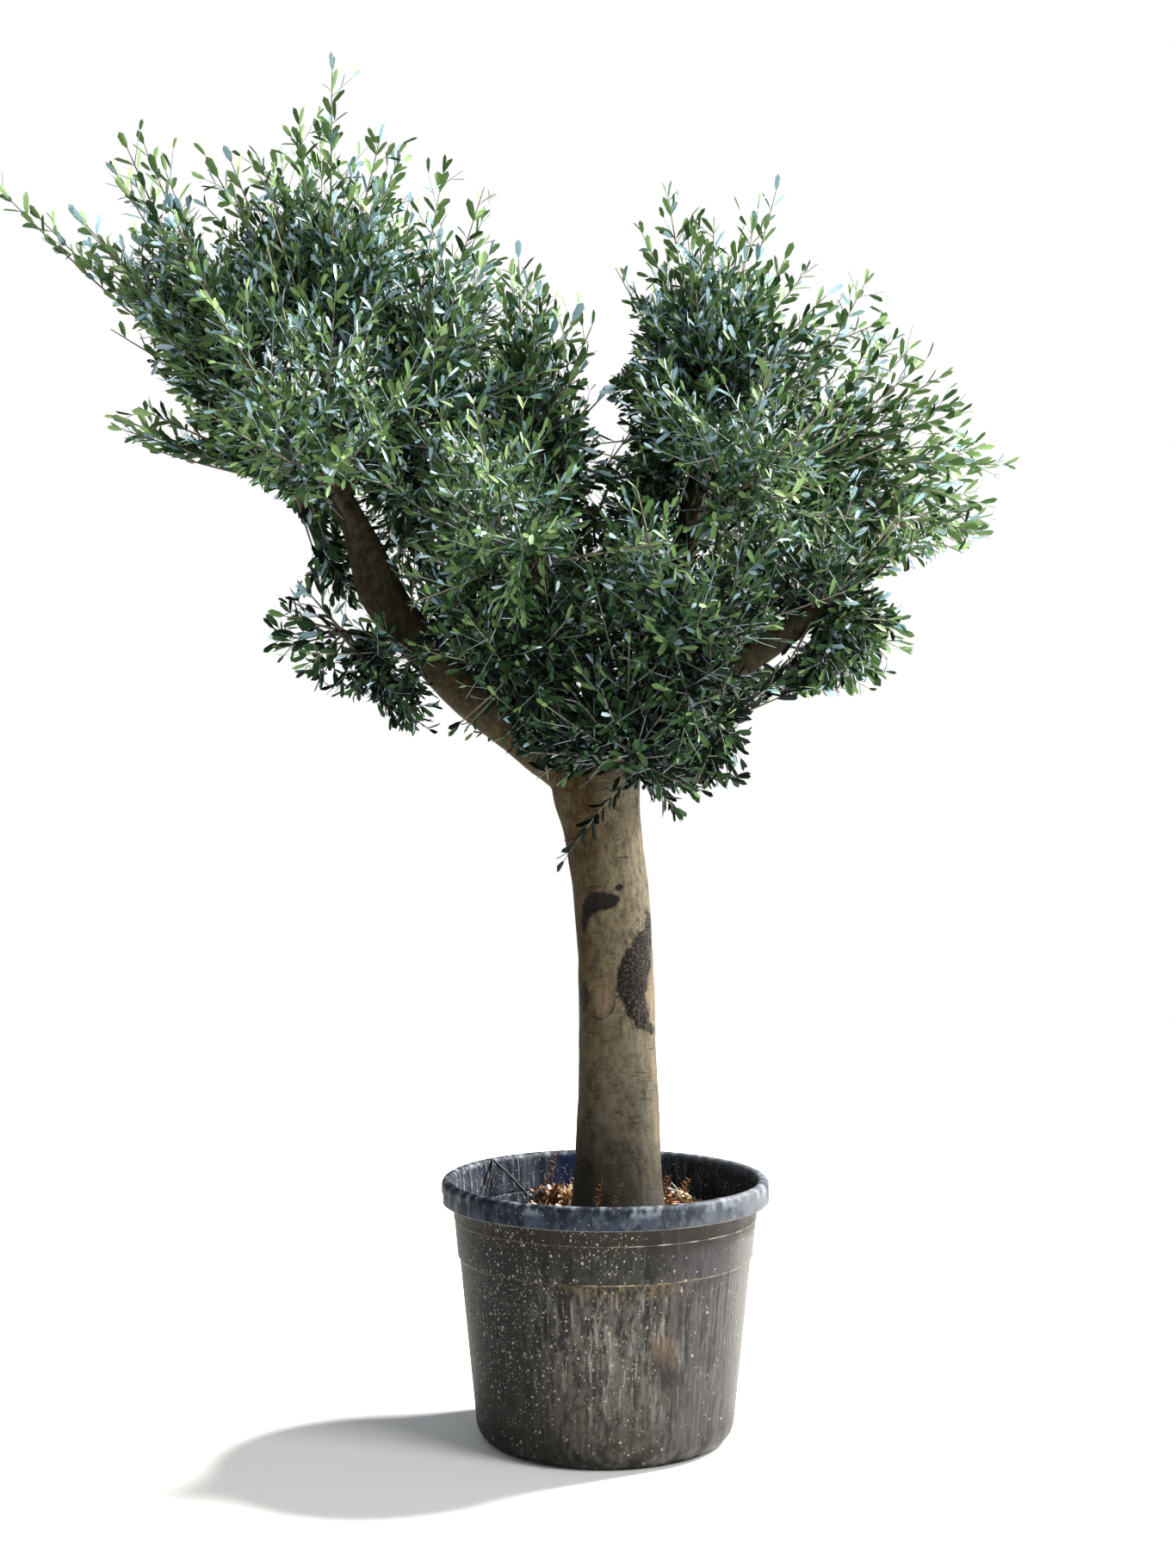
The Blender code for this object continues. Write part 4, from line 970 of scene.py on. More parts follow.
stalks = stalks.pick(kept & in_outline(ends, -0.02) & (room(ends) > 0.01))

# Shoots that spring from the trunk's top and hang or cross in front of the fork.
WATER_SHOOTS = (
    # start, end: as seen from the front and the depth, then how far the middle bows down
    ((0.06, 1.608, -0.15), (-0.1, 1.407, -0.2), -0.012),
    ((0.062, 1.65, -0.15), (-0.118, 1.852, -0.24), -0.01),
    ((0.062, 1.645, -0.15), (-0.09, 1.629, -0.17), 0.004),
    ((0.062, 1.628, -0.15), (0.292, 1.65, -0.22), 0.016),
    ((0.118, 1.612, -0.12), (0.166, 1.53, -0.16), -0.01),
    ((0.16, 1.64, -0.16), (0.32, 1.612, -0.2), 0.01),
    ((-0.02, 1.665, -0.16), (-0.175, 1.75, -0.22), -0.012),
    ((-0.14, 1.605, -0.15), (-0.16, 1.745, -0.2), 0.0),
    ((0.15, 1.7, -0.18), (0.325, 1.826, -0.26), 0.006),
    ((0.112, 1.704, -0.18), (0.2, 1.86, -0.27), 0.004),
    ((-0.3, 1.9, -0.28), (-0.08, 1.96, -0.36), -0.01),
    ((0.06, 1.86, -0.32), (0.23, 1.985, -0.4), -0.008),
    ((-0.08, 1.8, -0.3), (-0.26, 2.01, -0.36), 0.0), ((0.02, 1.9, -0.36), (-0.03, 2.1, -0.42), 0.0),
)
start = np.array([from_front(*a) for a, b, bow in WATER_SHOOTS])
end = np.array([from_front(*b) for a, b, bow in WATER_SHOOTS])
bow = np.array([bow for a, b, bow in WATER_SHOOTS])
run = np.linalg.norm(end - start, axis=1)
bend = rising(4 * bow / run ** 2)
FORK_MASS = mass_names.index("fork_shoots")
water_shoots = new_shoots(
    start, aimed(start, end, bend, run), bend, run, (0.0028, 0.0012), FORK_MASS,
    rng.uniform(0.3, 0.8, len(run)),
)

# Short shoots straight out of the bark, joined to the mass that they stand in.
BOUGH_SHOOTS = {
    "bough_left": 46, "bough_right": 30, "bough_rear_right": 34, "bough_centre": 30, "bough_rear": 34,
    "trunk": 12,
}
BOUGH_SHOOT_RADII = (0.0036, 0.0012)
bough_groups = []
for name, count in BOUGH_SHOOTS.items():
    first, last = (0.86, 0.97) if name == "trunk" else (0.12, 0.98)
    places = [path_point(limbs[name], share) for share in rng.uniform(first, last, count)]
    start = np.array([point for point, along, radius in places])
    along = np.array([along for point, along, radius in places])
    radius = np.array([radius for point, along, radius in places])
    aim = leaned(along, np.radians(rng.uniform(45.0, 90.0, count)), rng.uniform(0.0, math.tau, count))
    start = start + unit(aim - along * (aim * along).sum(axis=1, keepdims=True)) * (radius * 0.9)[:, None]
    start_out = start + aim * 0.03
    nearest = line_distances(start_out, spine_starts, spine_ends).argmin(axis=1)
    bend = rising(rng.uniform(0.0, 0.6, count))
    length = rng.uniform(0.16, 0.42, count)
    bough_groups.append(new_shoots(start, aim, bend, length, BOUGH_SHOOT_RADII, nearest))


def clear_of_limbs(points, masses):
    return in_outline(points, 0.05) & (room(points) > BARK_CLEARANCE)


bough_shoots = cut_to_fit(joined(bough_groups), 0.08, (1.0, 0.8, 0.6, 0.45), (0.4, 0.7, 1.0), clear_of_limbs)


LEFT_ON_BARE_WOOD = 0.14


def off_bare_wood(shoots):
    """The shoots that leave the bare stretches of bough in view, and a few that cross them."""
    crossing = np.zeros(len(shoots.length), bool)
    for share in (0.1, 0.3, 0.5, 0.75, 1.0):
        crossing |= hides_bough(shoots.point(np.full(len(shoots.length), share)))
    return shoots.pick(~crossing | (rng.random(len(crossing)) < LEFT_ON_BARE_WOOD))


leaders = joined([off_bare_wood(joined([leaders, bough_shoots])), whips])
leader_run = len(leaders.length) - len(whips.length)

# Side shoots in pairs along each leader, thick towards the crown's middle and thin at its edge.
SIDE_STEP, SIDE_RUN, SIDE_START, SIDE_RADIUS = 0.042, 0.62, 0.06, 0.0021
counts = np.maximum(1, (leaders.length * SIDE_RUN / SIDE_STEP).astype(int))
rows = np.repeat(np.arange(len(counts)), counts * 2)
place = np.concatenate([np.repeat(np.arange(c), 2) for c in counts])
pair = np.concatenate([np.tile([0, 1], c) for c in counts])
shares = SIDE_START + SIDE_RUN * (place + rng.uniform(0.2, 0.8, len(rows))) / counts[rows]
turn = leaders.turn[rows] + place * math.pi / 2 + pair * math.pi + rng.normal(0.0, 0.3, len(rows))
left = leaders.length[rows] * (1.0 - shares)
lengths = np.minimum(left * rng.uniform(0.3, 0.8, len(rows)), rng.uniform(0.1, 0.3, len(rows)))
lean = np.radians(rng.uniform(32.0, 56.0, len(rows)))
lift = rng.uniform(-0.1, 0.7, len(rows))
sides = grown_from(leaders, rows, shares, lean, turn, lengths, SIDE_RADIUS, lift)
deep = top_depth(sides.start)
sides.length[:] *= 0.5 + 0.5 * deep
sides = sides.pick(rng.random(len(rows)) < 0.02 + 0.84 * deep ** 3.2)
sides = off_bare_wood(shortened(sides, 0.05))

# Two twiglets on many of the longer side shoots that are deep in the crown.
LONG_SIDE, TWIGLET_RADIUS = 0.13, 0.0013
chosen = rng.random(len(sides.length)) < top_depth(sides.start) * 1.6 - 0.8
rows = np.repeat(np.flatnonzero((sides.length > LONG_SIDE) & chosen), 2)
shares = rng.uniform(0.15, 0.7, len(rows))
lean = np.radians(rng.uniform(34.0, 60.0, len(rows)))
turn = rng.uniform(0.0, math.tau, len(rows))
lengths = rng.uniform(0.04, 0.11, len(rows))
lift = rng.uniform(0.0, 0.8, len(rows))
twiglets = grown_from(sides, rows, shares, lean, turn, lengths, TWIGLET_RADIUS, lift)
twiglets = off_bare_wood(shortened(twiglets, 0.03))


# ------------------------------------------------------------------------------------------------
# Leaves. Small blunt leathery leaves in opposite pairs, each pair turned a quarter from the last:
# dark green above, silvery beneath, some painted pale as a glint of the sky. Each is eight
# triangles, a blunt ellipse folded a little along its midrib, and hangs on its shoot by a short stalk.

END_LEAF_SIZE = 0.8


def leaves_on(shoots, first_share, node_step, shortest, longest, width):
    """Roots, directions, faces and lengths of the leaf pairs along many shoots, and their shoots' rows."""
    run = shoots.length * (1.0 - first_share)
    counts = np.maximum(1, np.round(run / node_step).astype(int)) + 1
    rows = np.repeat(np.arange(len(counts)), counts * 2)
    place = np.concatenate([np.repeat(np.arange(c), 2) for c in counts])
    pair = np.concatenate([np.tile([0.0, 1.0], c) for c in counts])
    last = place == counts[rows] - 1
    shares = first_share + (1.0 - first_share) * place / (counts[rows] - 1)
    shares = np.minimum(shares + rng.normal(0.0, 0.012, len(rows)) * ~last, 1.0)
    carrier = shoots.pick(rows)
    tangent = carrier.tangent(shares)
    turn = carrier.turn + place * math.pi / 2 + pair * math.pi + rng.normal(0.0, 0.22, len(rows))
    lean = np.radians(np.where(last, rng.uniform(8.0, 24.0, len(rows)), rng.uniform(24.0, 56.0, len(rows))))
    aim = leaned(tangent, lean, turn)
    face = unit(tangent - aim * (tangent * aim).sum(axis=1, keepdims=True))
    side = np.cross(face, aim)
    roll = rng.normal(0.0, 0.35, len(rows))[:, None]
    face = face * np.cos(roll) + side * np.sin(roll)
    size = rng.uniform(shortest, longest, len(rows)) * np.where(last, END_LEAF_SIZE, 1.0)
    root = carrier.point(shares)
    width = size * width * rng.uniform(0.85, 1.15, len(rows))
    return root, aim, face, size, width, shares, carrier.mass, carrier.tone


groups = {
    # shoots, share of each left bare, step between pairs, shortest, longest, width for each length
    "leaders": leaves_on(leaders.pick(np.arange(leader_run)), 0.28, 0.045, 0.038, 0.054, 0.3),
    "whips": leaves_on(whips, 0.24, 0.043, 0.048, 0.065, 0.33),
    "stalks": leaves_on(stalks, 0.4, 0.034, 0.036, 0.052, 0.31),
    "sides": leaves_on(sides, 0.2, 0.031, 0.034, 0.05, 0.26),
    "twiglets": leaves_on(twiglets, 0.3, 0.026, 0.031, 0.044, 0.26),
    "water_shoots": leaves_on(water_shoots, 0.12, 0.023, 0.036, 0.054, 0.34),
}
root, aim, face, size, width, along_shoot, mass, tone = map(np.concatenate, zip(*groups.values()))
middle = root + aim * size[:, None] * 0.5
end = root + aim * size[:, None]
kind = np.repeat(list(groups), [len(group[0]) for group in groups.values()])
on_whip, on_water_shoot = kind == "whips", kind == "water_shoots"
seen_x, seen_z = seen(end)
# a few leaves hang under the crown's edge, right of the trunk's top
HANGING_LEFT_END, HANGING_TOP = 0.11, 1.62
hangs = on_water_shoot | ((mass == FORK_MASS) & (seen_x > HANGING_LEFT_END) & (seen_z < HANGING_TOP))
LEAF_CLEARANCE, LEAF_OVERHANG, BARE_SHARE = 0.006, 0.03, 0.84
clear = (room(middle) > LEAF_CLEARANCE) & (room(end) > LEAF_CLEARANCE)
keep = clear & in_outline(end, -LEAF_OVERHANG) | hangs
keep &= ~(hides_bough(middle) & (rng.random(len(middle)) < BARE_SHARE)) | on_water_shoot
# the crown is thin towards its top, but for the whips
EDGE_BARE, BARE_FALL = 0.56, 0.72
keep &= (rng.random(len(middle)) > EDGE_BARE - BARE_FALL * top_depth(middle)) | on_whip | on_water_shoot
root, aim, face, size, width, along_shoot, mass, tone, on_water_shoot = [
    column[keep] for column in (root, aim, face, size, width, along_shoot, mass, tone, on_water_shoot)
]

# two stations of a blade: share of its length, half width for each width
LEAF_STATIONS = ((0.34, 0.4), (0.8, 0.46))
LEAF_CORNERS = np.array([
    (0, 2, 1), (0, 3, 2), (1, 2, 5), (1, 5, 4), (2, 3, 6), (2, 6, 5), (4, 5, 7), (5, 6, 7),
])
LEAF_POINTS, LEAF_FOLD = 8, 0.1


def leaf_mesh(name, root, aim, face, size, width, slots):
    """One mesh of many leaves. Eight points and eight triangles each."""
    side = np.cross(face, aim)
    curl = size * rng.uniform(-0.1, 0.16, len(size))
    points = np.empty((len(size), LEAF_POINTS, 3))
    points[:, 0] = root
    points[:, 7] = root + aim * size[:, None] - face * curl[:, None]
    for k, (along, half) in enumerate(LEAF_STATIONS):
        rib = root + aim * (size * along)[:, None] - face * (curl * along * along)[:, None]
        lift = face * (width * LEAF_FOLD)[:, None]
        points[:, 1 + 3 * k] = rib + side * (width * half)[:, None] + lift
        points[:, 2 + 3 * k] = rib
        points[:, 3 + 3 * k] = rib - side * (width * half)[:, None] + lift
    faces = (LEAF_CORNERS + LEAF_POINTS * np.arange(len(size))[:, None, None]).reshape(-1, 3)
    return triangle_object(name, points.reshape(-1, 3), faces, np.repeat(slots, len(LEAF_CORNERS)))


def triangle_object(name, points, faces, slots=None):
    """An object of many smooth triangles, made in bulk, its faces' materials given by slots."""
    mesh = bpy.data.meshes.new(name)
    mesh.vertices.add(len(points))
    mesh.vertices.foreach_set("co", np.ascontiguousarray(points, np.float32).ravel())
    mesh.loops.add(faces.size)
    mesh.loops.foreach_set("vertex_index", np.ascontiguousarray(faces, np.int32).ravel())
    mesh.polygons.add(len(faces))
    mesh.polygons.foreach_set("loop_start", np.arange(0, faces.size, 3, dtype=np.int32))
    mesh.polygons.foreach_set("use_smooth", np.ones(len(faces), bool))
    if slots is not None:
        mesh.polygons.foreach_set("material_index", np.ascontiguousarray(slots, np.int32))
    mesh.update(calc_edges=True)
    mesh.validate()
    return placed(name, mesh)


# the darkest colour is painted shade and the palest green is painted sunlight
LEAF_COLOURS = {
    "leaf_shaded": (0.004, 0.01, 0.006),
    "leaf_green": (0.022, 0.057, 0.02),
    "leaf_olive": (0.09, 0.16, 0.056),
    "leaf_sunlit": (0.195, 0.32, 0.125),
    # silvery backs, and a painted sheen on some high fronts; then a painted glint of the sky
    "leaf_silver_and_sheen": (0.24, 0.385, 0.44),
    "leaf_sky_glint": (0.54, 0.74, 0.85),
}


# The fine uneven sheen and relief of living skin, for leaves and twigs
SHEEN_SPREAD = 0.22
living_skin = bpy.data.node_groups.new("living_skin", "ShaderNodeTree")
living_skin.interface.new_socket("Fineness", in_out="INPUT", socket_type="NodeSocketFloat")
living_skin.interface.new_socket("Roughest", in_out="INPUT", socket_type="NodeSocketFloat")
living_skin.interface.new_socket("Roughness", in_out="OUTPUT", socket_type="NodeSocketFloat")
living_skin.interface.new_socket("Height", in_out="OUTPUT", socket_type="NodeSocketFloat")
entry, leave = living_skin.nodes.new("NodeGroupInput"), living_skin.nodes.new("NodeGroupOutput")
pores = noise_of(living_skin, place_of(living_skin), entry.outputs["Fineness"])
roughest = entry.outputs["Roughest"]
smoothest = sums(living_skin, "SUBTRACT", roughest, SHEEN_SPREAD)
sheen = ramp(living_skin, pores, 0.3, 0.7, smoothest, roughest)
feed(living_skin, leave, {"Roughness": sheen, "Height": pores})


def with_living_skin(name, colour, fineness, roughest, depth, specular):
    """A leaf's or twig's material, plain in colour, with the living skin's sheen and relief."""
    material, tree, shader = new_material(name, colour, roughest, Specular_IOR_Level=specular)
    group = add_node(tree, "Group", node_tree=living_skin)
    feed(tree, group, {"Fineness": fineness, "Roughest": roughest})
    normal = raised(tree, group.outputs["Height"], depth, 0.7)
    feed(tree, shader, {"Roughness": group.outputs["Roughness"], "Normal": normal})
    return material


leaf_materials = [
    with_living_skin(name, colour, 160.0, 0.66, 0.0006, 0.11) for name, colour in LEAF_COLOURS.items()
]

# A leaf is painted lighter the further out it stands, as painted sunlight, and darker inside the crown,
# low down on the left and on the hanging water shoots, as painted shade; it is also lighter nearer its
# shoot's tip. Some leaves show their silvery backs, most of all high up and far out, and some high
# leaves, backs and fronts, take a painted sheen or a painted glint of the sky.
SHADED, GREEN, OLIVE, SUNLIT, SILVER_AND_SHEEN, SKY_GLINT = range(len(LEAF_COLOURS))
DEEP_BELOW, GREEN_BELOW, OLIVE_BELOW = 0.39, 0.67, 1.02
SKY_GLINT_SHARE = 0.36
crown_centre = np.array([-0.15, 0.0, 2.15])
outward = unit((root - crown_centre) * [1.0, 1.0, 0.7] + [0.0, 0.0, -0.25])
showing_back = (face * outward).sum(axis=1) < 0.0
far_out = np.clip(room(root) / 0.45, 0.0, 1.0)
draw = rng.random(len(root)) * 0.42 + tone * 0.28 + far_out * 0.43 + 0.16 * (along_shoot > 0.84)
# painted shade: darker low down on the left and on the water shoots hanging under the crown
draw -= 0.26 * np.clip((2.15 - root[:, 2]) / 0.45, 0.0, 1.0) * (root[:, 0] < 0.45)
draw[on_water_shoot] -= 0.2
slots = np.select([draw < DEEP_BELOW, draw < GREEN_BELOW, draw < OLIVE_BELOW], [SHADED, GREEN, OLIVE], SUNLIT)
high = np.clip((root[:, 2] - 2.3) / 0.6, 0.0, 1.0)
low = np.clip((root[:, 2] - 1.65) / 0.35, 0.3, 1.0)
# painted sheen and sky glints: pale colours on backs, on a few fronts high up, and fewer low down
pale_chance = np.where(showing_back, 0.16 + 0.26 * far_out + 0.05 * high, 0.13 * high) * low
pale = (rng.random(len(root)) < pale_chance) & ~on_water_shoot
slots = np.where(pale, np.where(rng.random(len(root)) < SKY_GLINT_SHARE, SKY_GLINT, SILVER_AND_SHEEN), slots)

LEAF_LIMIT = 24000
order = np.argsort(mass, kind="stable")
for start in range(0, len(order), LEAF_LIMIT):
    part = order[start:start + LEAF_LIMIT]
    columns = [column[part] for column in (root, aim, face, size, width, slots)]
    piece = leaf_mesh("leaves_%d" % (1 + start // LEAF_LIMIT), *columns)
    for material in leaf_materials:
        piece.data.materials.append(material)
    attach(piece, "root")
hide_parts(*mass_names)


# ------------------------------------------------------------------------------------------------
# Twigs and stems. Grey-green young wood a few millimetres thick, and woodier leaders, on the stems
# that go on from the end of each bough and spur. They are as they grew, tapering to their tips.

TWIG_SIDES = 3


def twig_mesh(name, shoots, segments):
    """Slim tapering twigs, each in a few lengths."""
    count = len(shoots.length)
    first, second = across(shoots.aim)
    rings = []
    for k in range(segments + 1):
        share = np.full(count, k / segments)
        centre = shoots.point(share)
        radius = shoots.root_radius + (shoots.tip_radius - shoots.root_radius) * share
        for corner in range(TWIG_SIDES):
            angle = corner * math.tau / TWIG_SIDES
            rings.append(centre + (first * math.cos(angle) + second * math.sin(angle)) * radius[:, None])
    points = np.stack(rings, axis=1)
    corners = []
    for k in range(segments):
        for corner in range(TWIG_SIDES):
            a, b = TWIG_SIDES * k + corner, TWIG_SIDES * k + (corner + 1) % TWIG_SIDES
            corners += [(a, b, b + TWIG_SIDES), (a, b + TWIG_SIDES, a + TWIG_SIDES)]
    first_points = TWIG_SIDES * (segments + 1) * np.arange(count)
    faces = (np.array(corners) + first_points[:, None, None]).reshape(-1, 3)
    return triangle_object(name, points.reshape(-1, 3), faces)


woody = with_living_skin("woody_twig", (0.165, 0.15, 0.12), 220.0, 0.85, 0.0008, 0.2)
young = with_living_skin("young_twig", (0.2, 0.255, 0.265), 300.0, 0.72, 0.0004, 0.2)
TWIGS = {
    # name: shoots, lengths in each, wood
    "leader_twigs": (joined([leaders, water_shoots]), 8, woody),
    "side_twigs": (sides, 3, young),
    "twiglets": (joined([twiglets, stalks]), 2, young),
}
for name, (shoots, segments, wood) in TWIGS.items():
    piece = twig_mesh(name, shoots, segments)
    piece.data.materials.append(wood)
    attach(piece, "root")


def smooth_piece(name, points, faces, materials, slots=None):
    """A smoothly shaded object, its faces' materials given by slots."""
    mesh = bpy.data.meshes.new(name)
    mesh.from_pydata([tuple(point) for point in points], [], faces)
    for material in materials:
        mesh.materials.append(material)
    if slots is not None:
        mesh.polygons.foreach_set("material_index", slots)
    mesh.shade_smooth()
    return placed(name, mesh)


STEM_SIDES, STEM_RINGS, STEM_ROOT, STEM_TAPER = 10, 8, -0.08, 0.7
stem_parts = []
for tip, axis, stem_run, radius in stems:
    path = np.array([
        (*(tip + axis * stem_run * t), radius * (1.0 - STEM_TAPER * max(t, 0.0)))
        for t in np.linspace(STEM_ROOT, 1.0, STEM_RINGS)
    ])
    stem_parts.append(tube_parts(path, STEM_SIDES))
points, faces = gathered(stem_parts)
stem_piece = smooth_piece("stems", points, faces, [bark_material])
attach(stem_piece, "root")


# ------------------------------------------------------------------------------------------------
# Pot. A black nursery container, one injection moulding in polyethylene: a rolled rim, a bead and a
# raised band below it, a fluted wall that narrows to a rounded heel, and a foot ring with five
# drain notches. It is paler on the right, partly sun-bleached and partly painted sunlight, splashed
# with pale lime and dusty at the foot.

POT_SIDES = 300
POT_WALL = 0.006
SHARP_ANGLE = math.radians(40.0)
RIM_OUTER, RIM_MOUTH, LIP_HEIGHT, POT_HEIGHT = 0.4, 0.3715, 0.577, 0.632
NECK, BEAD_HEIGHT, BAND_HEIGHT, BAND = 0.3705, 0.5365, 0.446, 0.3605
FOOT_RADIUS, HEEL_RADIUS, HEEL_HEIGHT, HEEL_STEPS = 0.275, 0.317, 0.056, 12
NOTCH_TURNS = [math.radians(-37.5 + 72.0 * k) for k in range(5)]
NOTCH_HALF, NOTCH_SLOPE, NOTCH_DEPTH, NOTCH_REACH = math.radians(4.0), math.radians(0.8), 0.009, 0.02


def rounded(points, size, steps=3):
    """A profile whose corners are cut back by a size and rounded off."""
    result = [points[0]]
    for before, corner, after in zip(points, points[1:], points[2:]):
        before, corner, after = Vector(before), Vector(corner), Vector(after)
        cut = min(size, (before - corner).length * 0.45, (after - corner).length * 0.45)
        start = corner + (before - corner).normalized() * cut
        end = corner + (after - corner).normalized() * cut
        for k in range(steps + 1):
            t = k / steps
            result.append(tuple(start * (1 - t) ** 2 + corner * 2 * t * (1 - t) + end * t * t))
    return result + [points[-1]]


def heel(inset):
    """The rounded bottom edge from the wall down to the foot, moved in by an amount."""
    points = []
    for k in range(HEEL_STEPS + 1):
        angle = math.pi / 2 * k / HEEL_STEPS
        radius = FOOT_RADIUS + (HEEL_RADIUS - FOOT_RADIUS - inset) * math.cos(angle)
        points.append((radius, inset + (HEEL_HEIGHT - inset) * (1.0 - math.sin(angle))))
    return points


def wall(inset):
    """The wall from the bead down to the band, moved in by an amount."""
    return [
        (NECK - inset, BEAD_HEIGHT + 0.001), (NECK - 0.0018 - inset, BEAD_HEIGHT - 0.0015),
        (BAND - inset, BAND_HEIGHT), (BAND - 0.0045 - inset, BAND_HEIGHT - 0.0045),
    ]


def run_down(first, last, steps):
    """Even steps along a straight stretch of the profile, without its last point."""
    return [tuple(Vector(first).lerp(Vector(last), k / steps)) for k in range(steps)]


# the rolled rim's crest is a half circle, from the mouth over to the outside
ROLL = (RIM_OUTER - RIM_MOUTH) / 2
ROLL_RADIUS, ROLL_HEIGHT = RIM_MOUTH + ROLL, POT_HEIGHT - ROLL
crest = [
    (ROLL_RADIUS + ROLL * math.cos(angle), ROLL_HEIGHT + ROLL * math.sin(angle))
    for angle in np.linspace(math.pi, 0.0, 16)
]
inner = rounded([(0.02, POT_WALL)] + heel(POT_WALL)[::-1] + wall(POT_WALL)[::-1], 0.002, 2)
inner += run_down((NECK - POT_WALL - 0.001, BEAD_HEIGHT + 0.006), (RIM_MOUTH - 0.004, LIP_HEIGHT), 4)
inner += run_down((RIM_MOUTH - 0.004, LIP_HEIGHT), (RIM_MOUTH, ROLL_HEIGHT - 0.001), 5)
lip = rounded([
    (RIM_OUTER, ROLL_HEIGHT - 0.002), (RIM_OUTER + 0.0004, LIP_HEIGHT + 0.018),
    (RIM_OUTER, LIP_HEIGHT + 0.001),
    (RIM_OUTER - 0.004, LIP_HEIGHT), (NECK + 0.004, LIP_HEIGHT + 0.002), (NECK, LIP_HEIGHT - 0.003),
], 0.003)
outer = rounded([lip[-1]] + wall(0.0) + [(BAND - 0.0055, BAND_HEIGHT - 0.012)], 0.0022)
outer = outer[:-1] + run_down(outer[-1], (HEEL_RADIUS, HEEL_HEIGHT), 14) + heel(0.0)
foot = [(FOOT_RADIUS - 0.006, 0.0), (FOOT_RADIUS - 0.014, 0.0), (FOOT_RADIUS - 0.017, 0.004), (0.02, 0.004)]
profile = np.array(inner + crest + lip + outer[1:] + foot)
apart = np.linalg.norm(np.diff(profile, axis=0), axis=1) > 1e-5
profile = profile[np.concatenate(([True], apart))]
turns = np.arange(POT_SIDES) / POT_SIDES * math.tau
ring_r, ring_z = np.repeat(profile[:, 0], POT_SIDES), np.repeat(profile[:, 1], POT_SIDES)
ring_turn = np.tile(turns, len(profile))
# out of true by a few millimetres, as a filled soft pot stands
OVAL_SWAY, THREE_SIDED_SWAY = 0.0022, 0.0012
sway = 1.0 + OVAL_SWAY * np.sin(2 * ring_turn + 0.6) * (ring_z / POT_HEIGHT)
sway += THREE_SIDED_SWAY * np.sin(3 * ring_turn + 2.0)
ring_r_swayed = ring_r * sway
pot_points = np.stack([ring_r_swayed * np.cos(ring_turn), ring_r_swayed * np.sin(ring_turn), ring_z], axis=1)
from_front_turn = np.arctan2(pot_points[:, 0], -pot_points[:, 1])
for turn in NOTCH_TURNS:
    away = np.abs((from_front_turn - turn + math.pi) % math.tau - math.pi)
    share = np.clip((NOTCH_HALF - away) / NOTCH_SLOPE, 0.0, 1.0)
    low = (ring_z < NOTCH_DEPTH) & (ring_r > FOOT_RADIUS - NOTCH_REACH)
    pot_points[low, 2] += (NOTCH_DEPTH - ring_z[low]) * share[low]
pot_faces = [(a, d, c, b) for a, b, c, d in ring_faces(len(profile), POT_SIDES)]
caps = [list(range(POT_SIDES)), list(range(len(pot_points) - POT_SIDES, len(pot_points)))[::-1]]
pot = smooth_piece("pot_shell", pot_points.tolist(), pot_faces + caps, [])
bm = bmesh.new()
bm.from_mesh(pot.data)
bmesh.ops.recalc_face_normals(bm, faces=bm.faces)
bm.to_mesh(pot.data)
bm.free()
pot.data.set_sharp_from_angle(angle=SHARP_ANGLE)

# Lime splashes: crisp pale specks of many sizes, for the pot and what lies in it
specks = bpy.data.node_groups.new("lime_specks", "ShaderNodeTree")
specks.interface.new_socket("Place", in_out="INPUT", socket_type="NodeSocketVector")
specks.interface.new_socket("Fineness", in_out="INPUT", socket_type="NodeSocketFloat")
specks.interface.new_socket("Amount", in_out="INPUT", socket_type="NodeSocketFloat")
specks.interface.new_socket("Share", in_out="OUTPUT", socket_type="NodeSocketFloat")
entry, leave = specks.nodes.new("NodeGroupInput"), specks.nodes.new("NodeGroupOutput")
SPECK_WOBBLE = (0.0065, 0.0065, 0.01)
dropped = entry.outputs["Place"]
wobble = add_node(specks, "TexNoise", {"Vector": dropped, "Scale": 240.0, "Detail": 3.0}).outputs[1]
shifting = {0: wobble, 1: SPECK_WOBBLE, 2: dropped}
shifted = add_node(specks, "VectorMath", shifting, operation="MULTIPLY_ADD").outputs[0]
cell = add_node(specks, "TexVoronoi", {"Vector": shifted, "Scale": entry.outputs["Fineness"]})
luck = add_node(specks, "SeparateColor", {0: cell.outputs["Color"]})
chosen = sums(specks, "LESS_THAN", luck.outputs[0], entry.outputs["Amount"])
size = plus(specks, times(specks, luck.outputs[1], 0.34), 0.1)
inside_speck = ramp(specks, sums(specks, "SUBTRACT", size, cell.outputs["Distance"]), 0.0, 0.05)
feed(specks, leave, {"Share": times(specks, chosen, inside_speck)})


def speck_share(tree, place, fineness, amount):
    """The share of lime at each point, for an amount that is a number or a socket."""
    inputs = {"Place": place, "Fineness": fineness, "Amount": amount}
    return add_node(tree, "Group", inputs, node_tree=specks).outputs["Share"]


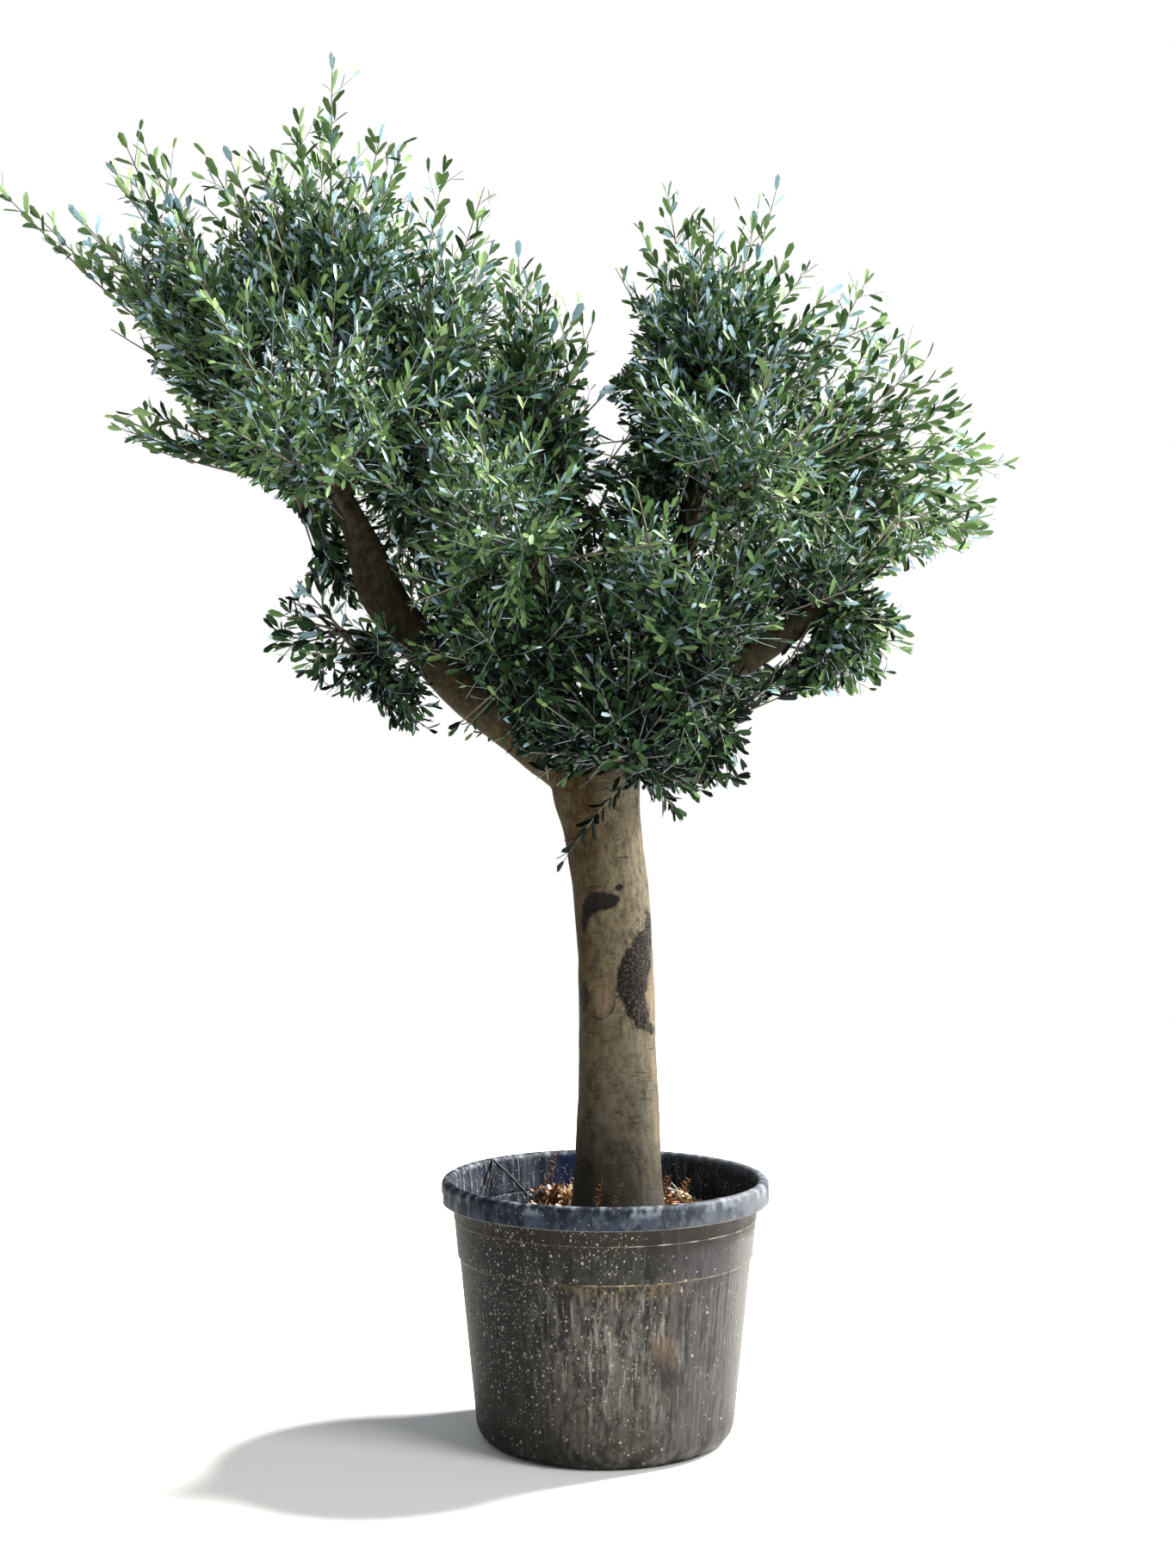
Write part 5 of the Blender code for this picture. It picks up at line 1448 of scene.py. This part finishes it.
BLACK_PLASTIC = (0.03, 0.03, 0.032)
pot_material, tree, shader = new_material("weathered_plastic", BLACK_PLASTIC, 0.6, Specular_IOR_Level=0.12)
place = place_of(tree)
parted = add_node(tree, "SeparateXYZ", {0: place})
east, depth_y, height = parted.outputs["X"], parted.outputs["Y"], parted.outputs["Z"]
around = sums(tree, "ARCTAN2", east, times(tree, depth_y, -1.0))
level_place = add_node(tree, "CombineXYZ", {0: east, 1: depth_y}).outputs[0]
far = add_node(tree, "VectorMath", {0: level_place}, operation="LENGTH").outputs["Value"]
cloud = noise_of(tree, place, 6.0, 4.0)
patch = noise_of(tree, place, 16.0, 4.0, (1.0, 1.0, 0.7))
streak = noise_of(tree, place, 46.0, 3.0, (1.0, 1.0, 0.07))
fine_streak = noise_of(tree, place, 130.0, 2.0, (1.0, 1.0, 0.05))
dust = noise_of(tree, place, 210.0, 3.0)
rubbed = noise_of(tree, place, 38.0, 5.0, (1.0, 1.0, 0.5))
eroded = noise_of(tree, place, 88.0, 6.0, (1.0, 1.0, 0.45), 0.75)
trickle = noise_of(tree, place, 74.0, 4.0, (1.0, 1.0, 0.08), 0.6)
smear = noise_of(tree, place, 52.0, 5.0, (1.0, 1.0, 0.8), 0.7)
bleach_and_sunlight = ramp(tree, east, -0.16, 0.22)
patchy = ramp(tree, patch, 0.35, 0.65)

# dark and light of each kind of dirt
CLEAN_BLACK = (0.004, 0.004, 0.004), (0.01, 0.01, 0.01)
LEFT_EDGE = (0.009, 0.008, 0.006), (0.024, 0.021, 0.017)
DUST_FILM = (0.058, 0.055, 0.049), (0.094, 0.089, 0.08)
RIM_BLUE = (0.003, 0.006, 0.013), (0.023, 0.032, 0.05)
INSIDE_BLUE = (0.005, 0.008, 0.017), (0.038, 0.048, 0.07)

# a beige dust film worn through in small dark blotches, thick in the middle and low down
worn_through = ramp(tree, plus(tree, eroded, times(tree, streak, 0.7)), 0.74, 0.98, 0.08, 1.0)
film_zone = times(tree, ramp(tree, east, -0.26, -0.02, 0.05, 0.95), ramp(tree, height, 0.5, 0.36, 0.25, 1.0))
low_share = times(tree, ramp(tree, height, 0.36, 0.03), ramp(tree, patch, 0.3, 0.62, 0.15, 0.7))
# a smoother grey film down the right, with fine pale runs drawn stronger towards the right as painted
# sunlight, and thicker runs down the middle
right_film = times(tree, ramp(tree, east, 0.08, 0.24), ramp(tree, streak, 0.36, 0.64, 0.3, 0.85))
fine_runs = times(tree, ramp(tree, fine_streak, 0.55, 0.7), ramp(tree, bleach_and_sunlight, 0.0, 1.0, 0.06, 0.28))
run_zone = times(
    tree, window(tree, east, -0.2, -0.06, 0.12, 0.26), ramp(tree, height, 0.44, 0.405),
    ramp(tree, height, 0.06, 0.22, 0.15, 1.0),
)
runs = times(tree, run_zone, ramp(tree, trickle, 0.55, 0.64, 0.0, 0.6))
# an ochre stain right of the middle, silt under the band, and damp patches round the foot
stain = times(
    tree, window(tree, east, 0.085, 0.125, 0.135, 0.175), window(tree, height, 0.14, 0.26, 0.34, 0.4),
    ramp(tree, patch, 0.36, 0.6, 0.0, 0.4),
)
silt = times(
    tree, window(tree, east, -0.14, -0.04, 0.16, 0.24), window(tree, height, 0.392, 0.436, 0.4425, 0.4445),
    ramp(tree, eroded, 0.44, 0.6, 0.0, 0.7),
)
damp = times(tree, ramp(tree, height, 0.105, 0.03), ramp(tree, patch, 0.46, 0.58, 0.0, 0.85))
# painted shade: a patchy darker band in the neck under the rolled rim's lip
shade_under_lip = times(
    tree, window(tree, height, 0.5, 0.535, 0.574, 0.58), ramp(tree, patch, 0.3, 0.6, 0.35, 0.85),
)
plastic = painted(
    tree, mixed(tree, ramp(tree, cloud, 0.35, 0.65), *CLEAN_BLACK),
    (ramp(tree, east, -0.29, -0.35, 0.0, 0.8), mixed(tree, patchy, *LEFT_EDGE)),
    (times(tree, film_zone, worn_through), mixed(tree, patchy, *DUST_FILM)),
    (low_share, (0.029, 0.026, 0.021)),
    (right_film, (0.04, 0.038, 0.043)),
    (fine_runs, (0.115, 0.11, 0.108)),
    # painted sunlight: a pale strip down the far right of the wall
    (ramp(tree, east, 0.275, 0.335, 0.0, 0.55), (0.105, 0.106, 0.104)),
    (runs, (0.17, 0.164, 0.15)),
    (stain, (0.13, 0.09, 0.06)),
    (silt, (0.105, 0.074, 0.034)),
    (damp, (0.006, 0.006, 0.005)),
    (shade_under_lip, (0.014, 0.011, 0.008)),
)

# the rim is rubbed grey-blue, chalky on the right, with drips on the left and a dusty lower edge
rim_zone = ramp(tree, height, 0.5745, 0.5765)
smears = times(tree, ramp(tree, smear, 0.5, 0.64), ramp(tree, east, -0.3, 0.3, 0.3, 1.0), 0.55)
chalk = times(tree, ramp(tree, east, 0.04, 0.34, 0.0, 0.75), ramp(tree, patch, 0.36, 0.56, 0.35, 1.0))
drips = times(tree, ramp(tree, east, -0.1, -0.3), ramp(tree, streak, 0.53, 0.62, 0.0, 0.65))
worn = times(tree, ramp(tree, height, 0.602, 0.618), ramp(tree, rubbed, 0.5, 0.64, 0.0, 0.8))
lip_line = times(
    tree, ramp(tree, plus(tree, height, times(tree, rubbed, 0.008)), 0.5835, 0.5815),
    ramp(tree, rubbed, 0.35, 0.55, 0.15, 0.8),
)
rim_colour = painted(
    tree, mixed(tree, ramp(tree, rubbed, 0.38, 0.62), *RIM_BLUE),
    (smears, (0.11, 0.124, 0.145)),
    (chalk, (0.09, 0.101, 0.118)),
    (drips, (0.095, 0.105, 0.118)),
    (worn, (0.14, 0.16, 0.195)),
    (lip_line, (0.33, 0.325, 0.3)),
)

# pale dust lies on the bead and ochre dust on the edge of the band
bead_line = times(
    tree, window(tree, height, 0.535, 0.5362, 0.5374, 0.5385), ramp(tree, rubbed, 0.38, 0.58, 0.1, 0.8),
    ramp(tree, east, -0.02, 0.12, 0.15, 1.0),
)
band_line = times(
    tree, window(tree, height, 0.4428, 0.444, 0.446, 0.4472), ramp(tree, rubbed, 0.4, 0.6, 0.0, 0.75),
    ramp(tree, east, -0.12, 0.02, 0.25, 1.0),
)
# lime splashes, thick on the left and under the rim, thin on the rim itself
amount = times(
    tree, ramp(tree, east, -0.06, 0.2, 1.0, 0.14), ramp(tree, east, -0.345, -0.27, 0.12, 1.0),
    ramp(tree, height, 0.12, 0.34, 0.45, 1.0), ramp(tree, cloud, 0.34, 0.58, 0.25, 1.0),
    ramp(tree, rim_zone, 0.0, 1.0, 1.0, 0.1),
)
coarse = times(tree, speck_share(tree, place, 112.0, times(tree, amount, 0.27)), 0.8)
small = times(tree, speck_share(tree, place, 190.0, times(tree, amount, 0.5)), 0.72)
speckled = sums(tree, "MAXIMUM", coarse, small)

# the inside is darker, with drips: blue-grey on the left where it is lit, with a painted navy shadow left of
# the trunk and painted shade on the right
inward = times(tree, ramp(tree, far, 0.3735, 0.3705), ramp(tree, height, 0.5, 0.506))
outward_lean = add_node(tree, "VectorMath", {
    0: add_node(tree, "NewGeometry").outputs["True Normal"], 1: level_place,
}, operation="DOT_PRODUCT").outputs["Value"]
facing_in = sums(tree, "LESS_THAN", outward_lean, -0.12)
navy_shade = times(tree, ramp(tree, east, -0.145, -0.12), ramp(tree, east, -0.03, -0.07, 0.0, 0.85))
inner_colour = painted(
    tree, mixed(tree, ramp(tree, streak, 0.35, 0.7), *INSIDE_BLUE),
    (times(tree, ramp(tree, fine_streak, 0.56, 0.7), 0.6), (0.22, 0.23, 0.25)),
    # painted shadow: a navy patch on the back wall left of the trunk
    (navy_shade, (0.002, 0.01, 0.05)),
    # painted shade on the right of the inside
    (ramp(tree, east, 0.02, 0.16, 0.0, 0.6), (0.006, 0.006, 0.008)),
    (times(tree, speck_share(tree, place, 210.0, 0.3), 0.6), (0.36, 0.36, 0.35)),
)
plastic = painted(
    tree, plastic,
    (rim_zone, rim_colour),
    (bead_line, (0.3, 0.29, 0.265)),
    (band_line, (0.26, 0.215, 0.12)),
    (speckled, (0.27, 0.262, 0.238)),
    (times(tree, inward, facing_in), inner_colour),
)
# the wall is finely fluted up to the band
FLUTES = 132.0
fluting = add_node(tree, "Math", {0: times(tree, around, FLUTES)}, operation="SINE").outputs[0]
flutes = times(tree, fluting, ramp(tree, height, 0.44, 0.425))
surface = plus(
    tree, times(tree, flutes, 0.22), times(tree, dust, 0.35), times(tree, speckled, 0.5),
    times(tree, patch, 0.8),
)
feed(tree, shader, {
    "Base Color": plastic,
    "Roughness": ramp(tree, dust, 0.3, 0.7, 0.5, 0.72),
    "Normal": raised(tree, surface, 0.0012, 0.8),
})
pot.data.materials.append(pot_material)
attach(pot, "root")
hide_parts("pot")


# ------------------------------------------------------------------------------------------------
# Label. A small bare tag of white coated paper, stained by the weather, stuck to the outside of the
# rolled rim at its left end. Its free end has begun to lift.

LABEL_TURN, LABEL_WIDE, LABEL_TALL, LABEL_HEIGHT = math.radians(190.0), 0.046, 0.026, 0.592
LABEL_ROWS, LABEL_COLUMNS, LABEL_THICKNESS = 4, 6, 0.0005
GLUE, LIFT, LIFTED_FROM = 0.0009, 0.0014, 0.7
bm = bmesh.new()
for row in range(LABEL_ROWS + 1):
    for column in range(LABEL_COLUMNS + 1):
        share = column / LABEL_COLUMNS
        turn = LABEL_TURN + (share - 0.5) * LABEL_WIDE / RIM_OUTER
        level = LABEL_HEIGHT + (row / LABEL_ROWS - 0.5) * LABEL_TALL
        radius = RIM_OUTER + GLUE + LIFT * max(0.0, share - LIFTED_FROM)
        bm.verts.new((radius * math.cos(turn), radius * math.sin(turn), level))
bm.verts.ensure_lookup_table()
across_row = LABEL_COLUMNS + 1
for row in range(LABEL_ROWS):
    for column in range(LABEL_COLUMNS):
        k = row * across_row + column
        corners = (k, k + 1, k + across_row + 1, k + across_row)
        bm.faces.new([bm.verts[corner] for corner in corners])
label = from_bmesh("label", bm)
thickness = label.modifiers.new("paper", "SOLIDIFY")
thickness.thickness = LABEL_THICKNESS
label_material, tree, shader = new_material("label_paper", (0.75, 0.75, 0.72), 0.6)
CLEAN_PAPER, STAINED_PAPER = (0.76, 0.77, 0.76), (0.42, 0.41, 0.38)
blots = ramp(tree, noise_of(tree, place_of(tree), 90.0, 4.0), 0.4, 0.75)
feed(tree, shader, {"Base Color": mixed(tree, blots, CLEAN_PAPER, STAINED_PAPER)})
label.data.materials.append(label_material)
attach(label, "root")


# ------------------------------------------------------------------------------------------------
# Soil. Dark crumbly compost, a little heaped towards the trunk, with dry bits of leaf trodden into
# it. It fills the pot to a hand's breadth under the rim and lies loose on the roots.

SOIL_TOP = 0.505
SOIL_EDGE = NECK - POT_WALL - 0.0053
SOIL_CRUMB, SOIL_HEAP, SOIL_HEAP_WIDTH, SOIL_SKIRT = 0.005, 0.012, 0.17, 0.03
TRUNK_X = TRUNK[0][0]
SOIL_RINGS, SOIL_SIDES = 54, 160
soil_points = [(0.0, 0.0, SOIL_TOP)]
for ring in range(1, SOIL_RINGS + 1):
    radius = SOIL_EDGE * ring / SOIL_RINGS
    for side in range(SOIL_SIDES):
        turn = math.tau * side / SOIL_SIDES
        x, y = radius * math.cos(turn), radius * math.sin(turn)
        crumb = SOIL_CRUMB * abs(noise.fractal(Vector((x * 34.0, y * 34.0, 0.3)), 0.8, 2.2, 4))
        heap = SOIL_HEAP * math.exp(-((math.hypot(x - TRUNK_X, y) / SOIL_HEAP_WIDTH) ** 2))
        soil_points.append((x, y, SOIL_TOP - 0.002 + crumb + heap * (1.0 - ring / SOIL_RINGS)))
foot_ring = len(soil_points)
for side in range(SOIL_SIDES):
    turn = math.tau * side / SOIL_SIDES
    soil_points.append((SOIL_EDGE * math.cos(turn), SOIL_EDGE * math.sin(turn), SOIL_TOP - SOIL_SKIRT))
soil_faces = [(0, 1 + s, 1 + (s + 1) % SOIL_SIDES) for s in range(SOIL_SIDES)]
soil_faces += [(a, d, c, b) for a, b, c, d in ring_faces(SOIL_RINGS + 1, SOIL_SIDES, 1)]
soil_faces.append(tuple(range(foot_ring, foot_ring + SOIL_SIDES))[::-1])
soil_material, tree, shader = new_material("compost", (0.03, 0.022, 0.015), 0.95)
place = place_of(tree)
crumbs = noise_of(tree, place, 70.0, 5.0)
earth = mixed(tree, ramp(tree, crumbs, 0.3, 0.7), (0.012, 0.009, 0.006), (0.07, 0.052, 0.034))
bits = add_node(tree, "TexVoronoi", {"Vector": place, "Scale": 120.0})
bit_luck = add_node(tree, "SeparateColor", {0: bits.outputs["Color"]}).outputs[0]
earth = mixed(tree, ramp(tree, bit_luck, 0.86, 0.9), earth, (0.2, 0.15, 0.085))
rough_ground = raised(tree, plus(tree, crumbs, bits.outputs["Distance"]), 0.004, 1.0)
feed(tree, shader, {"Base Color": earth, "Normal": rough_ground})
soil = smooth_piece("soil_surface", soil_points, soil_faces, [soil_material])
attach(soil, "root")
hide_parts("soil")


# ------------------------------------------------------------------------------------------------
# Litter. Fallen olive leaves, dried golden, rust and cream and curled up along their midribs, blown
# into two drifts either side of the trunk, with thin dry stalks among them.

HEAPS = {"litter_left": (-0.128, 0.222, 0.062, 0.05), "litter_right": (0.168, 0.205, 0.058, 0.046)}
LITTER_COUNT, LITTER_REST, LITTER_TOP = 330, 0.0025, 0.02
litter_rng = np.random.default_rng(7)
DRY_COLOURS = {
    "dry_gold": ((0.4, 0.215, 0.06), (0.22, 0.1, 0.03)),
    "dry_rust": ((0.235, 0.085, 0.03), (0.095, 0.038, 0.018)),
    "dry_cream": ((0.64, 0.52, 0.35), (0.38, 0.26, 0.14)),
    "dry_brown": ((0.09, 0.054, 0.03), (0.03, 0.019, 0.012)),
}
GOLD, RUST, CREAM, BROWN = range(len(DRY_COLOURS))
DRY_SHARES = (0.2, 0.27, 0.2, 0.33)
dry_materials = []
for name, (light, dark) in DRY_COLOURS.items():
    material, tree, shader = new_material(name, light, 0.65)
    crinkle = noise_of(tree, place_of(tree), 150.0, 3.0)
    dried = mixed(tree, ramp(tree, crinkle, 0.35, 0.68), light, dark)
    feed(tree, shader, {"Base Color": dried, "Normal": raised(tree, crinkle, 0.001, 0.7)})
    dry_materials.append(material)


DRY_STATIONS = 6


def curled_leaf(root, forward, up, length, width, bend, fold):
    """Points and faces of one dry leaf: bent along its length and folded along its midrib."""
    side = np.cross(forward, up)
    points, faces = [], []
    for t in np.linspace(0.0, 1.0, DRY_STATIONS):
        half_width = width / 2 * math.sin(math.pi * min(1.0, 0.12 + 0.84 * t)) ** 0.7
        centre = root + (forward * math.sin(bend * t) + up * (1 - math.cos(bend * t))) * length / bend
        rise = up * half_width * fold
        points += [centre - side * half_width + rise, centre, centre + side * half_width + rise]
    for a in range(0, 3 * (DRY_STATIONS - 1), 3):
        faces += [(a, a + 1, a + 4, a + 3), (a + 1, a + 2, a + 5, a + 4)]
    return points, faces


for name, (heap_x, heap_y, heap_radius, heap_height) in HEAPS.items():
    parts, slots = [], []
    for k in range(LITTER_COUNT):
        spread, turn = math.sqrt(litter_rng.random()), litter_rng.uniform(0.0, math.tau)
        low = litter_rng.random() ** 0.7
        dome = heap_height * math.sqrt(max(0.0, 1.0 - spread ** 2))
        root = np.array([
            heap_x + heap_radius * spread * math.cos(turn), heap_y + heap_radius * spread * math.sin(turn),
            SOIL_TOP + 0.003 + dome * low,
        ])
        yaw, pitch = litter_rng.uniform(0.0, math.tau), litter_rng.uniform(-0.2, 0.9)
        forward = np.array(
            [math.cos(yaw) * math.cos(pitch), math.sin(yaw) * math.cos(pitch), math.sin(pitch)]
        )
        first, second = across(forward[None])
        roll = litter_rng.uniform(0.0, math.tau)
        up = first[0] * math.cos(roll) + second[0] * math.sin(roll)
        length = litter_rng.uniform(0.02, 0.036)
        part, part_faces = curled_leaf(
            root, forward, up, length, length * litter_rng.uniform(0.22, 0.36),
            litter_rng.uniform(0.4, 2.4), litter_rng.uniform(0.2, 1.4),
        )
        part = np.array(part)
        part[:, 2] = np.clip(part[:, 2], SOIL_TOP + LITTER_REST, SOIL_TOP + heap_height + LITTER_TOP)
        parts.append((part, part_faces))
        slots += [int(litter_rng.choice(len(DRY_COLOURS), p=DRY_SHARES))] * len(part_faces)
    drift = smooth_piece(name + "_leaves", *gathered(parts), dry_materials, slots)
    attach(drift, "root")
    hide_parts(name)


# ------------------------------------------------------------------------------------------------
# Dry sprigs. Dead shoots, each a thin brown stalk with stiff narrow dried leaves in a spiral. They
# are rooted in the soil and stand in the drifts and in front of the trunk's foot.

SPRIGS = {
    # foot x, y; lean; height; leaves; their colour; share of the stalk left bare
    "sprig_gold": (-0.134, 0.262, (-0.08, 0.05, 1.0), 0.14, 15, GOLD, 0.55),
    "sprig_rust": (-0.022, -0.128, (-0.04, -0.1, 1.0), 0.15, 22, RUST, 0.45),
    "sprig_brown": (0.008, -0.134, (0.1, -0.08, 1.0), 0.14, 40, BROWN, 0.4),
    "sprig_left_rust": (-0.152, 0.226, (-0.1, 0.0, 1.0), 0.088, 26, RUST, 0.25),
    "sprig_left_cream": (-0.104, 0.214, (0.12, 0.0, 1.0), 0.086, 24, CREAM, 0.3),
    "sprig_right_rust": (0.15, 0.178, (-0.06, 0.1, 1.0), 0.098, 34, RUST, 0.25),
    "sprig_right_gold": (0.182, 0.196, (0.15, 0.05, 1.0), 0.086, 28, GOLD, 0.25),
}
SPRIG_BOW = np.array([0.02, -0.01, 0.0])
SPRIG_RADIUS, SPRIG_TAPER, SPRIG_SIDES, SPRIG_RINGS = 0.0014, 0.0007, 6, 7
SPRIG_LEAF, SPRIG_LEAF_LEAN, SPRIG_LEAF_WIDTH = 0.022, 0.95, 0.13
for name, (foot_x, foot_y, lean, tall, count, colour, bare) in SPRIGS.items():
    root, upward = np.array([foot_x, foot_y, SOIL_TOP]), unit(np.array(lean))
    path = np.array([
        (*(root + upward * tall * t + SPRIG_BOW * t * t), SPRIG_RADIUS - SPRIG_TAPER * t)
        for t in np.linspace(0, 1, SPRIG_RINGS)
    ])
    parts = [tube_parts(path, SPRIG_SIDES)]
    slots = [BROWN] * len(parts[0][1])
    for k in range(count):
        t = bare + (1.0 - bare) * k / count
        node = root + upward * tall * t + SPRIG_BOW * t * t
        outward = leaned(upward[None], np.array([SPRIG_LEAF_LEAN]), np.array([k * GOLDEN_ANGLE]))[0]
        face_up = unit(np.cross(outward, upward))
        length = SPRIG_LEAF * (1.15 - 0.6 * t)
        parts.append(curled_leaf(node, outward, face_up, length, length * SPRIG_LEAF_WIDTH, 0.6, 0.5))
        slots += [colour] * len(parts[-1][1])
    sprig = smooth_piece(name, *gathered(parts), dry_materials, slots)
    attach(sprig, "root")


# ------------------------------------------------------------------------------------------------
# Fallen twig and stalk. A grey weathered forked twig that has dropped on the right drift and leans
# on it, and one thin dry stalk that is rooted in the left drift and arches over the soil.

FALLEN = {
    # runs of x, y, z and radius
    "fallen_twig": (
        (
            (0.158, 0.16, 0.572, 0.0032), (0.185, 0.18, 0.561, 0.0034), (0.215, 0.205, 0.544, 0.003),
            (0.262, 0.235, 0.508, 0.0024),
        ),
        ((0.185, 0.18, 0.561, 0.003), (0.176, 0.17, 0.576, 0.002), (0.168, 0.165, 0.586, 0.0012)),
    ),
    "arching_stalk": (
        (
            (-0.1, 0.23, 0.512, 0.001), (-0.085, 0.215, 0.545, 0.0009), (-0.058, 0.2, 0.56, 0.0008),
            (-0.04, 0.19, 0.566, 0.0006),
        ),
    ),
}
FALLEN_STEP, FALLEN_SIDES = 0.006, 8
WEATHERED_WOOD = (0.42, 0.4, 0.37), (0.16, 0.14, 0.12)
twig_wood, tree, shader = new_material("dry_wood", (0.36, 0.34, 0.31), 0.8)
wood_grain = ramp(tree, noise_of(tree, place_of(tree), 220.0, 3.0), 0.35, 0.7)
feed(tree, shader, {"Base Color": mixed(tree, wood_grain, *WEATHERED_WOOD)})
for name, runs in FALLEN.items():
    parts = [tube_parts(smooth_path(run, FALLEN_STEP), FALLEN_SIDES) for run in runs]
    twig = smooth_piece(name, *gathered(parts), [twig_wood])
    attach(twig, "root")


# ------------------------------------------------------------------------------------------------
# Watering pipe. A short grey polyethylene pipe with push-on couplings, scuffed and spattered with
# mud. It comes up out of the soil and ends in the left drift.

PIPE_RADIUS, PIPE_SIDES, GAP = 0.008, 28, 0.0003
pipe_low = np.array([-0.222, 0.24, SOIL_TOP + GAP + PIPE_RADIUS * 0.9])
pipe_high = np.array([-0.14, 0.204, pipe_low[2] + 0.054])
GREY_PLASTIC = (0.2, 0.225, 0.27), (0.42, 0.45, 0.49)
PIPE_SPLASH = (0.09, 0.07, 0.05)
pipe_material, tree, shader = new_material("grey_pipe", (0.3, 0.32, 0.36), 0.5)
place = place_of(tree)
scuffs = noise_of(tree, place, 130.0, 4.0)
grey_plastic = painted(
    tree, mixed(tree, ramp(tree, scuffs, 0.3, 0.7), *GREY_PLASTIC),
    (times(tree, speck_share(tree, place, 300.0, 0.4), 0.8), PIPE_SPLASH),
)
feed(tree, shader, {"Base Color": grey_plastic, "Roughness": ramp(tree, scuffs, 0.3, 0.7, 0.42, 0.62)})
TUBE_BLACK, TUBE_SHADES = (0.012, 0.012, 0.013), ((0.003, 0.003, 0.004), (0.022, 0.021, 0.02))
black_material, tree, shader = new_material("black_tube", TUBE_BLACK, 0.45, Specular_IOR_Level=0.2)
rub = noise_of(tree, place_of(tree), 260.0, 3.0)
blacks = mixed(tree, ramp(tree, rub, 0.45, 0.75), *TUBE_SHADES)
feed(tree, shader, {"Base Color": blacks, "Roughness": ramp(tree, rub, 0.3, 0.7, 0.35, 0.6)})

# the pipe and its couplings: share of the length, radius, and the next stretch's material
PIPE_STEPS = (
    (0.0, 0.006, 0), (0.0, 0.008, 0), (0.06, 0.008, 0), (0.062, 0.0098, 0), (0.23, 0.01, 1),
    (0.232, 0.0106, 1), (0.27, 0.0106, 0), (0.272, 0.008, 0), (0.44, 0.008, 1), (0.442, 0.0092, 1),
    (0.475, 0.0092, 0), (0.477, 0.008, 0), (0.76, 0.008, 1), (0.762, 0.009, 1), (0.79, 0.009, 0),
    (0.792, 0.008, 0), (1.0, 0.008, 0),
)
run = pipe_high - pipe_low
pipe_path = np.array([(*(pipe_low + run * share), radius) for share, radius, slot in PIPE_STEPS])
direction = unit(run)
side, other = [axis[0] for axis in across(direction[None])]
points = []
for x, y, z, radius in pipe_path:
    for s in range(PIPE_SIDES):
        turn = math.tau * s / PIPE_SIDES
        points.append(np.array([x, y, z]) + radius * (side * math.cos(turn) + other * math.sin(turn)))
faces = ring_faces(len(pipe_path), PIPE_SIDES)
slots = [slot for share, radius, slot in PIPE_STEPS[:-1] for s in range(PIPE_SIDES)]
faces += [tuple(range(PIPE_SIDES))[::-1], tuple(range(len(points) - PIPE_SIDES, len(points)))]
slots += [0, 0]
pipe = smooth_piece("pipe_and_couplings", points, faces, [pipe_material, black_material], slots)
pipe.data.set_sharp_from_angle(angle=SHARP_ANGLE)
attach(pipe, "root")
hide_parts("water_pipe")


# ------------------------------------------------------------------------------------------------
# Feed tube. A thin stiff black polyethylene tube, plugged into the side of the pipe. It bends up
# over the inner edge of the rim, rests there, and comes back down to the soil.

TUBE_RADIUS, TUBE_SIDES, TUBE_STEP = 0.003, 12, 0.006
TAP_SHARE, STUB, BOW, BEND_SHARE, BEND_SET_IN = 0.35, 0.012, 0.006, 0.12, 0.003
REST_ANGLE, TUBE_FOOT_ANGLE, TUBE_FOOT_RADIUS = 140.0, 157.0, 0.338
upward = unit(np.array([0.0, 0.0, 1.0]) - direction * direction[2])
tap = pipe_low + run * TAP_SHARE + upward * (PIPE_RADIUS + GAP)


def in_pot(angle, radius, level):
    """A place in the pot, by its angle in degrees from the right, radius and height."""
    return np.array([radius * math.cos(math.radians(angle)), radius * math.sin(math.radians(angle)), level])


# halfway round the roll, on its inner side
SLANTED = math.sqrt(0.5)
seat = (TUBE_RADIUS + GAP) * SLANTED
rest_place = in_pot(REST_ANGLE, ROLL_RADIUS - ROLL * SLANTED - seat, ROLL_HEIGHT + ROLL * SLANTED + seat)
tube_foot = in_pot(TUBE_FOOT_ANGLE, TUBE_FOOT_RADIUS, SOIL_TOP + GAP + TUBE_RADIUS)
set_in = in_pot(REST_ANGLE, -BEND_SET_IN, 0.0)
guides = [
    tap,
    tap + upward * STUB,
    (tap + rest_place) / 2 + np.array([0.0, 0.0, BOW]),
    rest_place + (tap - rest_place) * BEND_SHARE + set_in,
    rest_place,
    rest_place + (tube_foot - rest_place) * BEND_SHARE + set_in,
    (rest_place + tube_foot) / 2 + set_in,
    tube_foot,
]
tube_path = smooth_path([(*guide, TUBE_RADIUS) for guide in guides], TUBE_STEP)
# the barbed plug at its end: how far from the pipe, and radius
PLUG = ((-0.002, 0.004), (0.003, 0.004), (0.0035, 0.0032), (0.009, 0.0028))
plug_path = np.array([(*(tap + upward * rise), radius) for rise, radius in PLUG])
parts = [tube_parts(path, TUBE_SIDES) for path in (tube_path, plug_path)]
tube = smooth_piece("feed_tube", *gathered(parts), [black_material])
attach(tube, "root")
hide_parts("water_tube")
